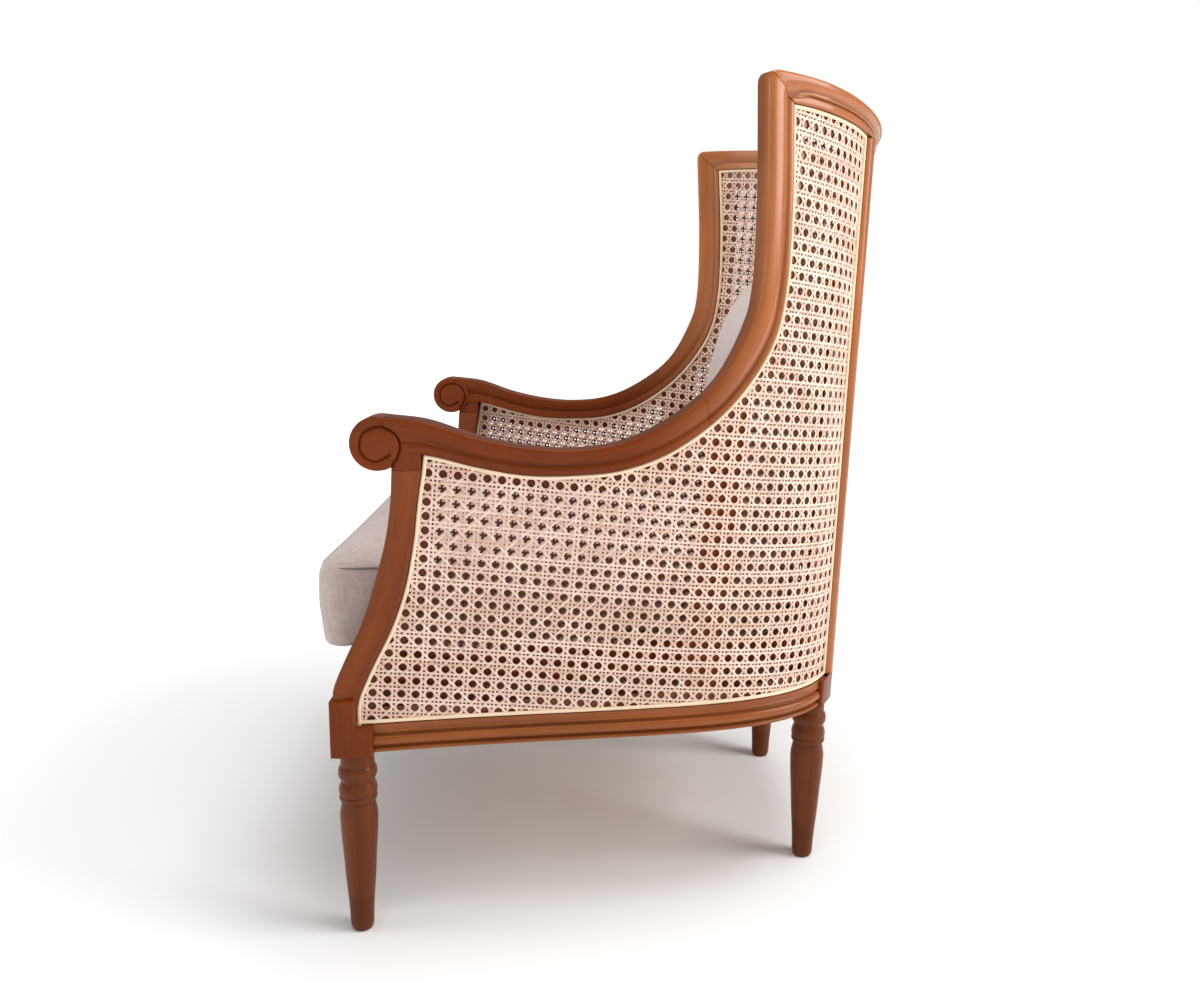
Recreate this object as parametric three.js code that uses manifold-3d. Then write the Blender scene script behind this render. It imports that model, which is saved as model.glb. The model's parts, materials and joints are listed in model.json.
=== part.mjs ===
// Wing armchair with a show-wood frame, double caned sides and back, scrolled arms, turned legs,
// a loose seat cushion and a loose back cushion. Millimetres, +Z up, the front faces -Y,
// the sitter's left is +X. The origin lies on the floor under the middle of the chair's box.
import * as THREE from 'three';
import { mergeVertices } from 'three/addons/utils/BufferGeometryUtils.js';
import Module from 'manifold-3d';

const wasm = await Module();
wasm.setup();

// Clearance between pieces that touch
const clearance = 0.3;

// The tub: a plan line drawn at two heights, from the front of a side round to the middle of the back,
// and straight rulings between them. The outer cane sheet lies on this surface.
const frontLine = -264.6;
const sideDepth = 640;
const frameHeight = 991;
const planLow = {
  height: 245, frontHalfWidth: 335.3, frontHandle: 412.5, frontTurn: THREE.MathUtils.degToRad(12.23),
  backHandle: 328.2, back: 365.4,
};
const planHigh = {
  height: 980, frontHalfWidth: 367.2, frontHandle: 399.7, frontTurn: THREE.MathUtils.degToRad(-3.8),
  backHandle: 239.1, back: 390.6,
};
const squareShare = 0.1;
const roundShare = 0.35;

// Depths from the tub surface, outward positive
const faceRise = 8;
const outerLedge = -2.8;
const innerLedge = -10.4;
const caneThickness = 2;
const beadRise = 2.5;
const beadWidth = 5.5;
const ledgeWidthShare = 0.22;
const caneGap = 1.4;
const typicalFace = 36;
const sheetGap = 0.9;

// Slats between the two sheets of a side: an upright brace below the elbow, and behind it a rail at
// the height of the seat platform
const slatThickness = 2.8;
const braceWidth = 48;
const braceShares = [0.435, 0.486];
const deckSlatHeight = 42;

// Seat frame
const seatRailBottom = 226.5;
const caneBottom = 263;
const seatRailLedge = 8;
const seatRailDepth = 24;
const seatRailRise = 6;

// Blocks over the legs
const blockWidth = 47;
const frontBlockProud = 11.4;
const frontBlockAhead = 10.9;
const frontBlockOuter = planLow.frontHalfWidth + frontBlockProud;
const frontBlockFront = frontLine - frontBlockAhead;
const stileWidth = 30;
const stileRise = 8.8;
const backBlockRise = 9;
const backPostBottomX = 147;
const backPostTopX = 132;

// Turned legs
const legHeight = seatRailBottom - clearance;
const legDiameter = 45;
const frontLegSetback = 1.8;
const frontLegX = frontBlockOuter - blockWidth / 2;
const frontLegY = frontBlockFront + blockWidth / 2 + frontLegSetback;
const backLegAhead = 21;
const backLegInset = 14.3;
const tenonDiameter = 22;
const tenonLength = 32;
const turningShares = [
  [0, 0.5], [0.018, 0.6], [0.155, 0.667], [0.297, 0.778], [0.442, 0.867], [0.54, 0.935], [0.64, 0.978],
  [0.68, 0.96], [0.697, 0.93], [0.731, 0.86], [0.752, 0.96], [0.766, 0.985], [0.777, 0.95], [0.798, 0.99],
  [0.824, 0.93], [0.849, 0.844], [0.872, 0.94], [0.893, 1], [0.915, 0.95], [0.938, 0.867], [1, 0.867],
];

// Side drawing, as shares of the side's depth behind the front line and of the height from the
// underside of the seat rail to the crest.
// Each pair of rows runs along one member: first its free edge, then its edge beside the cane.
const armFreeEdgeShares = [
  [0.093, 0.5165], [0.163, 0.5061], [0.245, 0.4841], [0.331, 0.4698], [0.415, 0.4659], [0.501, 0.4763],
  [0.588, 0.51], [0.668, 0.5645], [0.72, 0.6416], [0.738, 0.7057], [0.74, 0.8276], [0.731, 1],
];
const armCaneEdgeShares = [
  [0.093, 0.4556], [0.159, 0.4582], [0.245, 0.44], [0.329, 0.427], [0.413, 0.4258], [0.504, 0.4335],
  [0.596, 0.4633], [0.6915, 0.5243], [0.765, 0.6111], [0.79, 0.7006], [0.793, 0.8276], [0.785, 0.9585],
];
const postFrontEdgeShares = [
  [-0.0123, 0.0304], [-0.0123, 0.09], [-0.0084, 0.1121], [0.012, 0.1522], [0.043, 0.2086], [0.0666, 0.2689],
  [0.087, 0.3311], [0.098, 0.3869], [0.1025, 0.4361],
];
const postCaneEdgeShares = [
  [0.029, 0.0304], [0.0306, 0.0771], [0.0416, 0.1043], [0.0634, 0.1445], [0.0947, 0.1976], [0.12, 0.2585],
  [0.137, 0.3285], [0.146, 0.3869], [0.1556, 0.4361],
];
const elbowShare = 0.6;
const postFace = 5;
const postDepthBelow = 31;
const postDepthAbove = 39;
const armDepthAtScroll = 40;
const armDepthShares = [1, 0.8, 0.6, 0.48, 0.43];

// Scroll at the front of the arm
const scrollShares = [0.081, 0.475];
const scrollRadius = 29.7;
const scrollProud = 3.9;
const scrollWidth = 44;
const scrollEyeRadius = 9;
const scrollEyeRise = 1.5;

// Top rail
const cornerHeight = frameHeight;
const crestDrop = 29;
const topRailHeightAtWing = 31;
const topRailHeightAtBack = 25;
const topRailFace = 12;

// Seat platform
const bearerShare = 0.283;
const bearerWidth = 40;
const bearerHeight = 24;
const bearerEndGap = 3.5;
const boardThickness = 12;
const platformInset = 41;
const platformTop = 343;
const platformCrown = 1.2;
const frontRailBack = -240;
const frontRailFace = 4;
const frontRailHeight = 62;
const frontRailThickness = 30;
const cornerBlockLength = 60;
const cornerBlockWidth = 24;

// Seat cushion
const seatCushionBottom = platformTop + clearance;
const seatCushionSeam = 439;
const seatCushionCrown = 24;
const seatCushionFront = -287;
const seatCushionInset = 50;
const seatCushionPull = 5;
const seatCushionSwell = 5;
const pipingRadius = 3;

// Back cushion
const backCushionWidthShare = 0.674;
const backCushionHeight = 335;
const backCushionLean = THREE.MathUtils.degToRad(12);
const backCushionFrontCrown = 58;
const backCushionRearCrown = 100;
const backCushionFoot = 205;
const backCushionRestShare = 0.87;
const backCushionCornerShare = 0.16;
const backCushionRoundShare = 2.6;

// Finishes
const finishes = {
  frame: { color: '#8a4724', roughness: 0.38, metalness: 0 },
  legs: { color: '#6f412a', roughness: 0.45, metalness: 0 },
  hidden: { color: '#b08a60', roughness: 0.8, metalness: 0 },
  cane: { color: '#ecd4b8', roughness: 0.7, metalness: 0 },
  bead: { color: '#f0dca8', roughness: 0.6, metalness: 0 },
  fabric: { color: '#beafa8', roughness: 0.9, metalness: 0 },
  platform: { color: '#a89a92', roughness: 0.95, metalness: 0 },
  piping: { color: '#6f6460', roughness: 0.9, metalness: 0 },
};

const chair = new THREE.Group();
const lerp = THREE.MathUtils.lerp;

function addPiece(name, finish, geometry) {
  const material = new THREE.MeshStandardMaterial(finishes[finish]);
  material.name = finish;
  const mesh = new THREE.Mesh(geometry, material);
  mesh.name = name;
  chair.add(mesh);
}

// Points and mirrored sides

function bezier(a, b, c, d, t) {
  const s = 1 - t;
  return s * s * s * a + 3 * s * s * t * b + 3 * s * t * t * c + t * t * t * d;
}

function bezierSlope(a, b, c, d, t) {
  const s = 1 - t;
  return 3 * (s * s * (b - a) + 2 * s * t * (c - b) + t * t * (d - c));
}

function planPoint(plan, u) {
  const xs = [
    plan.frontHalfWidth, plan.frontHalfWidth - plan.frontHandle * Math.sin(plan.frontTurn), plan.backHandle, 0,
  ];
  const ys = [frontLine, frontLine + plan.frontHandle * Math.cos(plan.frontTurn), plan.back, plan.back];
  return {
    x: bezier(...xs, u), y: bezier(...ys, u), slopeX: bezierSlope(...xs, u), slopeY: bezierSlope(...ys, u),
  };
}

// Point of the tub: u runs from 0 at the front of the left side over 1 at the middle of the back
// to 2 at the front of the right side, z is the height, w the distance outward.
// At the front posts that distance is measured straight across the chair, so that they stay square.
function tub(u, z, w = 0) {
  const side = u > 1 ? -1 : 1;
  const v = side < 0 ? 2 - u : u;
  const low = planPoint(planLow, v);
  const high = planPoint(planHigh, v);
  const k = (z - planLow.height) / (planHigh.height - planLow.height);
  const slopeX = lerp(low.slopeX, high.slopeX, k);
  const slopeY = lerp(low.slopeY, high.slopeY, k);
  const length = Math.hypot(slopeX, slopeY);
  const square = 1 - THREE.MathUtils.smoothstep(v, squareShare, roundShare);
  const outX = lerp(slopeY / length, 1, square);
  const outY = lerp(-slopeX / length, 0, square);
  const x = lerp(low.x, high.x, k) + w * outX;
  const y = lerp(low.y, high.y, k) + w * outY;
  return new THREE.Vector3(side * x, y, z);
}

function solve(value, from, to) {
  let low = from;
  let high = to;
  const rising = value(high) > value(low);
  for (let i = 0; i < 40; i++) {
    const middle = (low + high) / 2;
    if ((value(middle) < 0) === rising) low = middle;
    else high = middle;
  }
  return (low + high) / 2;
}

const uAtDepth = (y, z) => solve((u) => tub(u, z).y - y, -0.2, 0.98);
const uAtWidth = (x, z) => solve((u) => tub(u, z).x - x, 0.5, 1);
const heightAt = (share) => lerp(seatRailBottom, frameHeight, share);
const sidePlace = ([depthShare, heightShare]) => new THREE.Vector3(
  frontLine + depthShare * sideDepth, heightAt(heightShare), 0);

// A drawn edge becomes a function from 0..1 to [u, z] on the tub
function drawnEdge(shares) {
  const curve = new THREE.CatmullRomCurve3(shares.map(sidePlace), false, 'catmullrom', 0.5);
  return (s) => {
    const p = curve.getPoint(s);
    return [uAtDepth(p.x, p.y), p.y];
  };
}

// Solids

function geometryFrom(points, triangles) {
  const geometry = new THREE.BufferGeometry();
  geometry.setAttribute('position', new THREE.Float32BufferAttribute(points.flatMap((p) => [p.x, p.y, p.z]), 3));
  geometry.setIndex(volumeOf(points, triangles) < 0 ? reversed(triangles) : triangles);
  return geometry;
}

function volumeOf(points, triangles) {
  let volume = 0;
  for (let i = 0; i < triangles.length; i += 3) {
    const [a, b, c] = [points[triangles[i]], points[triangles[i + 1]], points[triangles[i + 2]]];
    volume += a.dot(new THREE.Vector3().crossVectors(b, c)) / 6;
  }
  return volume;
}

function reversed(triangles) {
  const turned = [];
  for (let i = 0; i < triangles.length; i += 3) turned.push(triangles[i], triangles[i + 2], triangles[i + 1]);
  return turned;
}

// Rings of equal count joined into one closed solid; the section gives the flat shape of the end caps
function loft(rings, section, closed = false) {
  const count = rings[0].length;
  const triangles = [];
  const last = closed ? rings.length : rings.length - 1;
  for (let r = 0; r < last; r++) {
    const next = (r + 1) % rings.length;
    for (let i = 0; i < count; i++) {
      const j = (i + 1) % count;
      const [a, b, c, d] = [r * count + i, r * count + j, next * count + j, next * count + i];
      triangles.push(a, b, c, a, c, d);
    }
  }
  if (!closed) {
    const cap = THREE.ShapeUtils.triangulateShape(section.map(([p, q]) => new THREE.Vector2(p, q)), []);
    const clockwise = THREE.ShapeUtils.area(section.map(([p, q]) => new THREE.Vector2(p, q))) < 0;
    const end = (rings.length - 1) * count;
    for (const face of cap) {
      const [a, b, c] = clockwise ? [face[0], face[2], face[1]] : face;
      triangles.push(a, c, b, end + a, end + b, end + c);
    }
  }
  return geometryFrom(rings.flat(), triangles);
}

const toSolid = (geometry) => {
  const bare = new THREE.BufferGeometry();
  bare.setAttribute('position', geometry.getAttribute('position').clone());
  if (geometry.index) bare.setIndex(geometry.index.clone());
  const merged = mergeVertices(bare);
  return new wasm.Manifold(new wasm.Mesh({
    numProp: 3,
    vertProperties: new Float32Array(merged.getAttribute('position').array),
    triVerts: new Uint32Array(merged.index.array),
  }));
};

const fromSolid = (solid) => {
  const mesh = solid.getMesh();
  const geometry = new THREE.BufferGeometry();
  geometry.setAttribute('position', new THREE.BufferAttribute(new Float32Array(mesh.vertProperties), 3));
  geometry.setIndex(new THREE.BufferAttribute(new Uint32Array(mesh.triVerts), 1));
  return geometry;
};

// Moulded members. A section is a list of [share across, distance w]; share 0 is the edge beside the
// cane, share 1 the free edge, and a negative share is the ledge behind the cane.
function mouldedSection({ rise, depth, grow = 0 }) {
  const ledge = -ledgeWidthShare - grow / typicalFace;
  const share = (caneGap - grow) / typicalFace;
  return [
    [ledge, outerLedge + grow], [share, outerLedge + grow], [share, rise * 0.3], [0.12, rise * 0.42],
    [0.17, rise * 0.12], [0.3, rise * 0.1], [0.42, rise * 0.62], [0.62, rise], [0.84, rise * 0.93],
    [0.96, rise * 0.45], [1, -rise * 0.3], [1, rise * 0.3 - depth], [0.93, -depth], [share, -depth],
    [share, innerLedge - grow], [ledge, innerLedge - grow],
  ];
}

function bar({ freeEdge, caneEdge, sectionAt, steps, from = 0, to = 1 }) {
  const rings = [];
  for (let k = 0; k <= steps; k++) {
    const s = lerp(from, to, k / steps);
    const [freeU, freeZ] = freeEdge(s);
    const [caneU, caneZ] = caneEdge(s);
    rings.push(sectionAt(s).map(([t, w]) => tub(lerp(caneU, freeU, t), lerp(caneZ, freeZ, t), w)));
  }
  return loft(rings, sectionAt(from));
}

const mirrorX = (geometry) => {
  const flipped = geometry.clone();
  const place = flipped.getAttribute('position');
  for (let i = 0; i < place.count; i++) place.setX(i, -place.getX(i));
  flipped.setIndex(reversed(Array.from(flipped.index.array)));
  return flipped;
};

function addPair(name, finish, geometry) {
  addPiece(`${name}_left`, finish, geometry);
  addPiece(`${name}_right`, finish, mirrorX(geometry));
}

function boxBetween(low, high) {
  const size = new THREE.Vector3().subVectors(high, low);
  const box = new THREE.BoxGeometry(size.x, size.y, size.z);
  box.translate((low.x + high.x) / 2, (low.y + high.y) / 2, (low.z + high.z) / 2);
  return box;
}

function upright(radius, bottom, height, x, y, sides = 24) {
  const cylinder = new THREE.CylinderGeometry(radius, radius, height, sides);
  cylinder.rotateX(Math.PI / 2);
  cylinder.translate(x, y, bottom + height / 2);
  return cylinder;
}

// Legs, each with a round tenon that stands in its block
function leg(x, y) {
  const outline = [new THREE.Vector2(0, 0)];
  for (const [heightShare, widthShare] of turningShares) {
    outline.push(new THREE.Vector2((widthShare * legDiameter) / 2, heightShare * legHeight));
  }
  outline.push(new THREE.Vector2(tenonDiameter / 2, legHeight));
  outline.push(new THREE.Vector2(tenonDiameter / 2, legHeight + tenonLength));
  outline.push(new THREE.Vector2(0, legHeight + tenonLength));
  const geometry = new THREE.LatheGeometry(outline, 12);
  geometry.rotateX(Math.PI / 2);
  geometry.translate(x, y, 0);
  return fromSolid(toSolid(geometry));
}

addPair('front_leg', 'legs', leg(frontLegX, frontLegY));

const tenonBore = (x, y) => toSolid(upright(
  tenonDiameter / 2 + clearance, seatRailBottom - clearance, tenonLength + 2 * clearance, x, y));

// Front posts: a block over the leg and the S-curved arm support that grows out of it
const postFreeEdge = drawnEdge(postFrontEdgeShares);
const postCaneEdge = drawnEdge(postCaneEdgeShares);
const postSection = (s) => mouldedSection({ rise: postFace, depth: lerp(postDepthBelow, postDepthAbove, s) });
const frontBlock = boxBetween(
  new THREE.Vector3(frontBlockOuter - blockWidth, frontBlockFront, seatRailBottom),
  new THREE.Vector3(frontBlockOuter, frontBlockFront + blockWidth, caneBottom - caneGap));
const frontBlockCheek = boxBetween(
  new THREE.Vector3(frontBlockOuter - blockWidth, frontBlockFront, seatRailBottom),
  new THREE.Vector3(frontBlockOuter, frontLine + postCaneEdgeShares[0][0] * sideDepth - caneGap,
    heightAt(postFrontEdgeShares[1][1])));
const frontPost = toSolid(bar({
  freeEdge: postFreeEdge, caneEdge: postCaneEdge, sectionAt: postSection, steps: 14,
}))
  .add(toSolid(frontBlock))
  .add(toSolid(frontBlockCheek))
  .subtract(tenonBore(frontLegX, frontLegY));
addPair('front_post', 'frame', fromSolid(frontPost));

// Arms: the rail with its scroll, and the neck that stands on the post
const armFreeEdge = drawnEdge(armFreeEdgeShares);
const armCaneEdge = drawnEdge(armCaneEdgeShares);
const armRise = (s) => lerp(postFace, faceRise, Math.min(s / elbowShare, 1));
const armDepth = (s) => {
  const place = Math.min(s / elbowShare, 1) * (armDepthShares.length - 1);
  const k = Math.min(Math.floor(place), armDepthShares.length - 2);
  return armDepthAtScroll * lerp(armDepthShares[k], armDepthShares[k + 1], place - k);
};
const armSection = (s) => mouldedSection({ rise: armRise(s), depth: armDepth(s) });

const scrollY = frontLine + scrollShares[0] * sideDepth;
const scrollZ = heightAt(scrollShares[1]);
const scrollOuter = tub(uAtDepth(scrollY, scrollZ), scrollZ, scrollProud).x;
function disc(radius, from, to, sides) {
  const geometry = new THREE.CylinderGeometry(radius, radius, to - from, sides);
  geometry.rotateZ(Math.PI / 2);
  geometry.translate((from + to) / 2, scrollY, scrollZ);
  return geometry;
}
const postTop = heightAt(postFrontEdgeShares.at(-1)[1]);
const neck = boxBetween(
  new THREE.Vector3(scrollOuter - scrollWidth, frontLine + postFrontEdgeShares.at(-1)[0] * sideDepth,
    postTop + clearance),
  new THREE.Vector3(scrollOuter, frontLine + postCaneEdgeShares.at(-1)[0] * sideDepth - caneGap,
    scrollZ));
const arm = toSolid(bar({
  freeEdge: armFreeEdge, caneEdge: armCaneEdge, sectionAt: armSection, steps: 18, from: 0, to: elbowShare,
}))
  .add(toSolid(disc(scrollRadius, scrollOuter - scrollWidth, scrollOuter, 32)))
  .add(toSolid(disc(scrollEyeRadius, scrollOuter - scrollWidth - scrollEyeRise, scrollOuter + scrollEyeRise, 16)))
  .add(toSolid(neck));
addPair('arm_rail', 'frame', fromSolid(arm));

// Wings, from the elbow up to the mitre
const jointShare = clearance / frameHeight;
const wing = bar({
  freeEdge: armFreeEdge, caneEdge: armCaneEdge, sectionAt: armSection, steps: 16,
  from: elbowShare + 2 * jointShare, to: 1 - 2 * jointShare,
});
addPair('wing_stile', 'frame', wing);

// Top rails: the free edge falls from the corner to the middle of the back
const cornerFree = armFreeEdge(1);
const cornerCane = armCaneEdge(1);
const crestHeight = (u) => {
  const k = THREE.MathUtils.clamp((u - cornerFree[0]) / (1 - cornerFree[0]), 0, 1);
  return cornerHeight - crestDrop * THREE.MathUtils.smoothstep(k, 0, 1);
};
const topRailHeight = (u) => lerp(topRailHeightAtWing, topRailHeightAtBack,
  THREE.MathUtils.smoothstep(u, cornerFree[0], backPostU(frameHeight)));
const backPostX = (z) => lerp(backPostBottomX, backPostTopX,
  (z - planLow.height) / (planHigh.height - planLow.height));
function backPostU(z) {
  return uAtWidth(backPostX(z), z);
}
const railEnd = backPostU(frameHeight);
const topFreeEdge = (s) => {
  const u = lerp(cornerFree[0], railEnd, s);
  return [u, crestHeight(u)];
};
const topCaneEdge = (s) => {
  const u = lerp(cornerCane[0], railEnd, s);
  const z = crestHeight(u) - topRailHeight(u);
  return [u, s === 0 ? cornerCane[1] : lerp(cornerCane[1], z, Math.min(1, 4 * s))];
};
const topSection = (grow) => (s) => mouldedSection({
  rise: lerp(faceRise, topRailFace, Math.min(1, 3 * s)), depth: armDepth(1), grow,
});
const sideTopRail = (grow) => bar({
  freeEdge: topFreeEdge, caneEdge: topCaneEdge, sectionAt: topSection(grow), steps: 12,
  from: 3 * jointShare, to: 1 - jointShare,
});
addPair('top_rail', 'frame', sideTopRail(0));

const backFreeEdge = (s) => {
  const u = lerp(railEnd, 2 - railEnd, s);
  return [u, crestHeight(u > 1 ? 2 - u : u)];
};
const backCaneEdge = (s) => {
  const [u, z] = backFreeEdge(s);
  return [u, z - topRailHeight(u > 1 ? 2 - u : u)];
};
const backTopRail = (grow) => bar({
  freeEdge: backFreeEdge, caneEdge: backCaneEdge, steps: 11, from: jointShare, to: 1 - jointShare,
  sectionAt: () => mouldedSection({ rise: topRailFace, depth: armDepth(1), grow }),
});
addPiece('top_rail_back', 'frame', backTopRail(0));

// Back posts: a block over the leg, and above it a moulded stile with a ledge on both sides
const ledgeWidth = seatRailLedge;
const acrossPost = (z, offset, w) => {
  const u = backPostU(z);
  const step = 0.002;
  const perShare = tub(u + step, z).distanceTo(tub(u - step, z)) / (2 * step);
  return tub(u + offset / perShare, z, w);
};
const stileSection = (rise) => {
  const half = stileWidth / 2 - caneGap;
  const reach = stileWidth / 2 + ledgeWidth;
  return [
    [-reach, outerLedge], [-half, outerLedge], [-half, rise * 0.3], [-half * 0.72, rise * 0.5],
    [-half * 0.45, rise * 0.95], [0, rise], [half * 0.45, rise * 0.95], [half * 0.72, rise * 0.5],
    [half, rise * 0.3], [half, outerLedge], [reach, outerLedge], [reach, innerLedge], [half, innerLedge],
    [half, -armDepth(1)], [-half, -armDepth(1)], [-half, innerLedge], [-reach, innerLedge],
  ];
};
function rectangle(from, to, low, high) {
  const steps = 5;
  const across = Array.from({ length: steps + 1 }, (_, k) => lerp(from, to, k / steps));
  return [...across.map((offset) => [offset, low]), ...across.toReversed().map((offset) => [offset, high])];
}
const blockCorner = blockWidth / 12;
const blockSection = () => {
  const [front, rear] = [-backLegAhead - blockWidth / 2, -backLegAhead + blockWidth / 2];
  const deep = backBlockRise - blockWidth;
  return [
    [front, deep], [rear, deep], [rear, backBlockRise - blockCorner], [rear - blockCorner, backBlockRise],
    [front + blockCorner, backBlockRise], [front, backBlockRise - blockCorner],
  ];
};
const rowsOf = (section, heights) => loft(
  heights.map((z) => section.map(([offset, w]) => acrossPost(z, offset, w))), section);
const stileTop = crestHeight(railEnd) - topRailHeightAtBack - clearance;
function backPost() {
  const reach = stileWidth / 2 + ledgeWidth;
  const stileHeights = [];
  const stileSteps = 5;
  for (let k = 0; k <= stileSteps; k++) {
    stileHeights.push(lerp(caneBottom - ledgeWidth, stileTop, k / stileSteps));
  }
  const foot = rectangle(-reach, reach, -seatRailDepth, stileRise * 0.7);
  const caneLedge = rectangle(-backLegAhead - blockWidth / 2, 0, innerLedge, outerLedge);
  return toSolid(rowsOf(blockSection(), [seatRailBottom, caneBottom - caneGap]))
    .add(toSolid(rowsOf(foot, [seatRailBottom, caneBottom - caneGap])))
    .add(toSolid(rowsOf(caneLedge, [caneBottom - ledgeWidth, caneBottom + ledgeWidth])))
    .add(toSolid(rowsOf(stileSection(stileRise), stileHeights)))
    .subtract(tenonBore(backLegSpot.x, backLegSpot.y))
    .subtract(toSolid(sideTopRail(2 * clearance)))
    .subtract(toSolid(backTopRail(2 * clearance)));
}
const backLegSpot = acrossPost(seatRailBottom, -backLegAhead, -backLegInset);
addPair('back_leg', 'legs', leg(backLegSpot.x, backLegSpot.y));
addPair('back_post', 'frame', fromSolid(backPost()));

// Seat rails round the tub: a lower bead, the main moulding and the ledge behind the cane
const seatRailSection = () => {
  const height = caneBottom - seatRailBottom;
  const ledge = -seatRailLedge / height;
  const rise = seatRailRise;
  return [
    [ledge, outerLedge], [caneGap / height, outerLedge], [caneGap / height, rise * 0.3], [0.28, rise * 0.35],
    [0.32, rise * 0.75], [0.4, rise * 0.75], [0.44, rise * 0.45], [0.52, rise * 0.9], [0.62, rise],
    [0.74, rise * 0.85], [0.8, rise * 0.3], [0.86, rise * 0.7], [0.97, rise * 0.7], [1, rise * 0.3],
    [1, -seatRailDepth], [caneGap / height, -seatRailDepth], [caneGap / height, innerLedge],
    [ledge, innerLedge],
  ];
};
const lengthInU = (u, z, length) => {
  const step = 0.002;
  return (length * 2 * step) / tub(u + step, z).distanceTo(tub(u - step, z));
};
const reachInU = (z, length) => lengthInU(backPostU(z), z, length);
const railFrontU = (z) => uAtDepth(frontBlockFront + blockWidth + clearance, z);
const alongSeat = (fromU, toU, z) => (s) => [lerp(fromU(z), toU(z), s), z];
const sideRailEnd = (z) => backPostU(z) - reachInU(z, backLegAhead + blockWidth / 2 + clearance);
const sideSeatRail = bar({
  freeEdge: alongSeat(railFrontU, sideRailEnd, seatRailBottom),
  caneEdge: alongSeat(railFrontU, sideRailEnd, caneBottom),
  sectionAt: seatRailSection, steps: 15,
});
addPair('side_seat_rail', 'frame', sideSeatRail);
const backRailFrom = (z) => backPostU(z) + reachInU(z, stileWidth / 2 + ledgeWidth + clearance);
const backRailTo = (z) => 2 - backRailFrom(z);
addPiece('back_seat_rail', 'frame', bar({
  freeEdge: alongSeat(backRailFrom, backRailTo, seatRailBottom),
  caneEdge: alongSeat(backRailFrom, backRailTo, caneBottom),
  sectionAt: seatRailSection, steps: 10,
}));

// Front seat rail, straight between the blocks, with the same moulding on its face
const frontRailSpan = 2 * (frontBlockOuter - blockWidth - clearance);
function frontRail() {
  const face = frontRailBack - frontRailThickness;
  const profile = new THREE.Shape([
    [frontRailBack, 0], [face, 0], [face, 0.1], [face - frontRailFace, 0.16], [face - frontRailFace, 0.3],
    [face, 0.36], [face, 0.84], [face - frontRailFace / 2, 0.88], [face, 0.96], [face, 1], [frontRailBack, 1],
  ].map(([y, share]) => new THREE.Vector2(y, seatRailBottom + share * frontRailHeight)));
  const geometry = new THREE.ExtrudeGeometry(profile, { depth: frontRailSpan, bevelEnabled: false });
  geometry.applyMatrix4(new THREE.Matrix4().makeBasis(
    new THREE.Vector3(0, 1, 0), new THREE.Vector3(0, 0, 1), new THREE.Vector3(1, 0, 0)));
  geometry.translate(-frontRailSpan / 2, 0, 0);
  return geometry;
}
addPiece('front_seat_rail', 'frame', frontRail());

// Bearers, glue blocks, board and upholstered platform under the loose cushion
const bearerTop = seatRailBottom + bearerHeight;
const backRailInner = (x) => {
  const u = uAtWidth(x, bearerTop);
  return tub(u, bearerTop, -seatRailDepth).y;
};
const bearerX = bearerShare * planLow.frontHalfWidth;
const bearer = boxBetween(
  new THREE.Vector3(bearerX - bearerWidth / 2, frontRailBack + clearance, seatRailBottom),
  new THREE.Vector3(bearerX + bearerWidth / 2, backRailInner(bearerX + bearerWidth / 2) - bearerEndGap,
    bearerTop));
addPair('seat_bearer', 'hidden', bearer);

function glueBlock() {
  const corner = new THREE.Vector2(frontBlockOuter - blockWidth - clearance, frontRailBack + clearance);
  const outline = new THREE.Shape([
    corner, new THREE.Vector2(corner.x, corner.y + cornerBlockWidth),
    new THREE.Vector2(corner.x - cornerBlockLength, corner.y),
  ]);
  const geometry = new THREE.ExtrudeGeometry(outline, { depth: bearerHeight, bevelEnabled: false });
  geometry.translate(0, 0, seatRailBottom);
  return mergeVertices(new THREE.BufferGeometry().copy(geometry));
}
const glueBlockSolid = fromSolid(toSolid(glueBlock()));
addPair('corner_block', 'hidden', glueBlockSolid);

// A plan outline inside the tub, from the front of the left side round to the front of the right side
function platformOutline(front, inset, z, steps) {
  const start = uAtDepth(front, z);
  const points = [];
  for (let k = 0; k <= steps; k++) {
    const p = tub(lerp(start, 2 - start, k / steps), z, -inset);
    points.push(new THREE.Vector2(p.x, p.y));
  }
  return points;
}
const boardBottom = bearerTop + clearance;
const board = new THREE.ExtrudeGeometry(
  new THREE.Shape(platformOutline(frontRailBack + clearance, platformInset, planLow.height, 30)),
  { depth: boardThickness, bevelEnabled: false });
board.translate(0, 0, boardBottom);
addPiece('seat_board', 'hidden', fromSolid(toSolid(board)));

// Faces of a closed form: a first point, rings of equal count, a last point
function ringTriangles(rings, count) {
  const triangles = [];
  const last = 1 + rings * count;
  const top = last - count;
  for (let i = 0; i < count; i++) {
    const j = (i + 1) % count;
    triangles.push(0, 1 + j, 1 + i, last, top + i, top + j);
    for (let r = 0; r < rings - 1; r++) {
      const [a, b] = [1 + r * count + i, 1 + r * count + j];
      triangles.push(a, b, b + count, a, b + count, a + count);
    }
  }
  return triangles;
}

// Pillow: rings of a plan outline, each with its height, its scale towards the middle and its swell
function pillow(outline, levels, centre) {
  const points = [new THREE.Vector3(centre.x, centre.y, levels[0].z)];
  levels.forEach(({ z, scale, out }) => {
    outline.forEach(({ point, normal }) => {
      const p = point.clone().sub(centre).multiplyScalar(scale).add(centre).addScaledVector(normal, out);
      points.push(new THREE.Vector3(p.x, p.y, z));
    });
  });
  points.push(new THREE.Vector3(centre.x, centre.y, levels.at(-1).z));
  return geometryFrom(points, ringTriangles(levels.length, outline.length));
}

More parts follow.
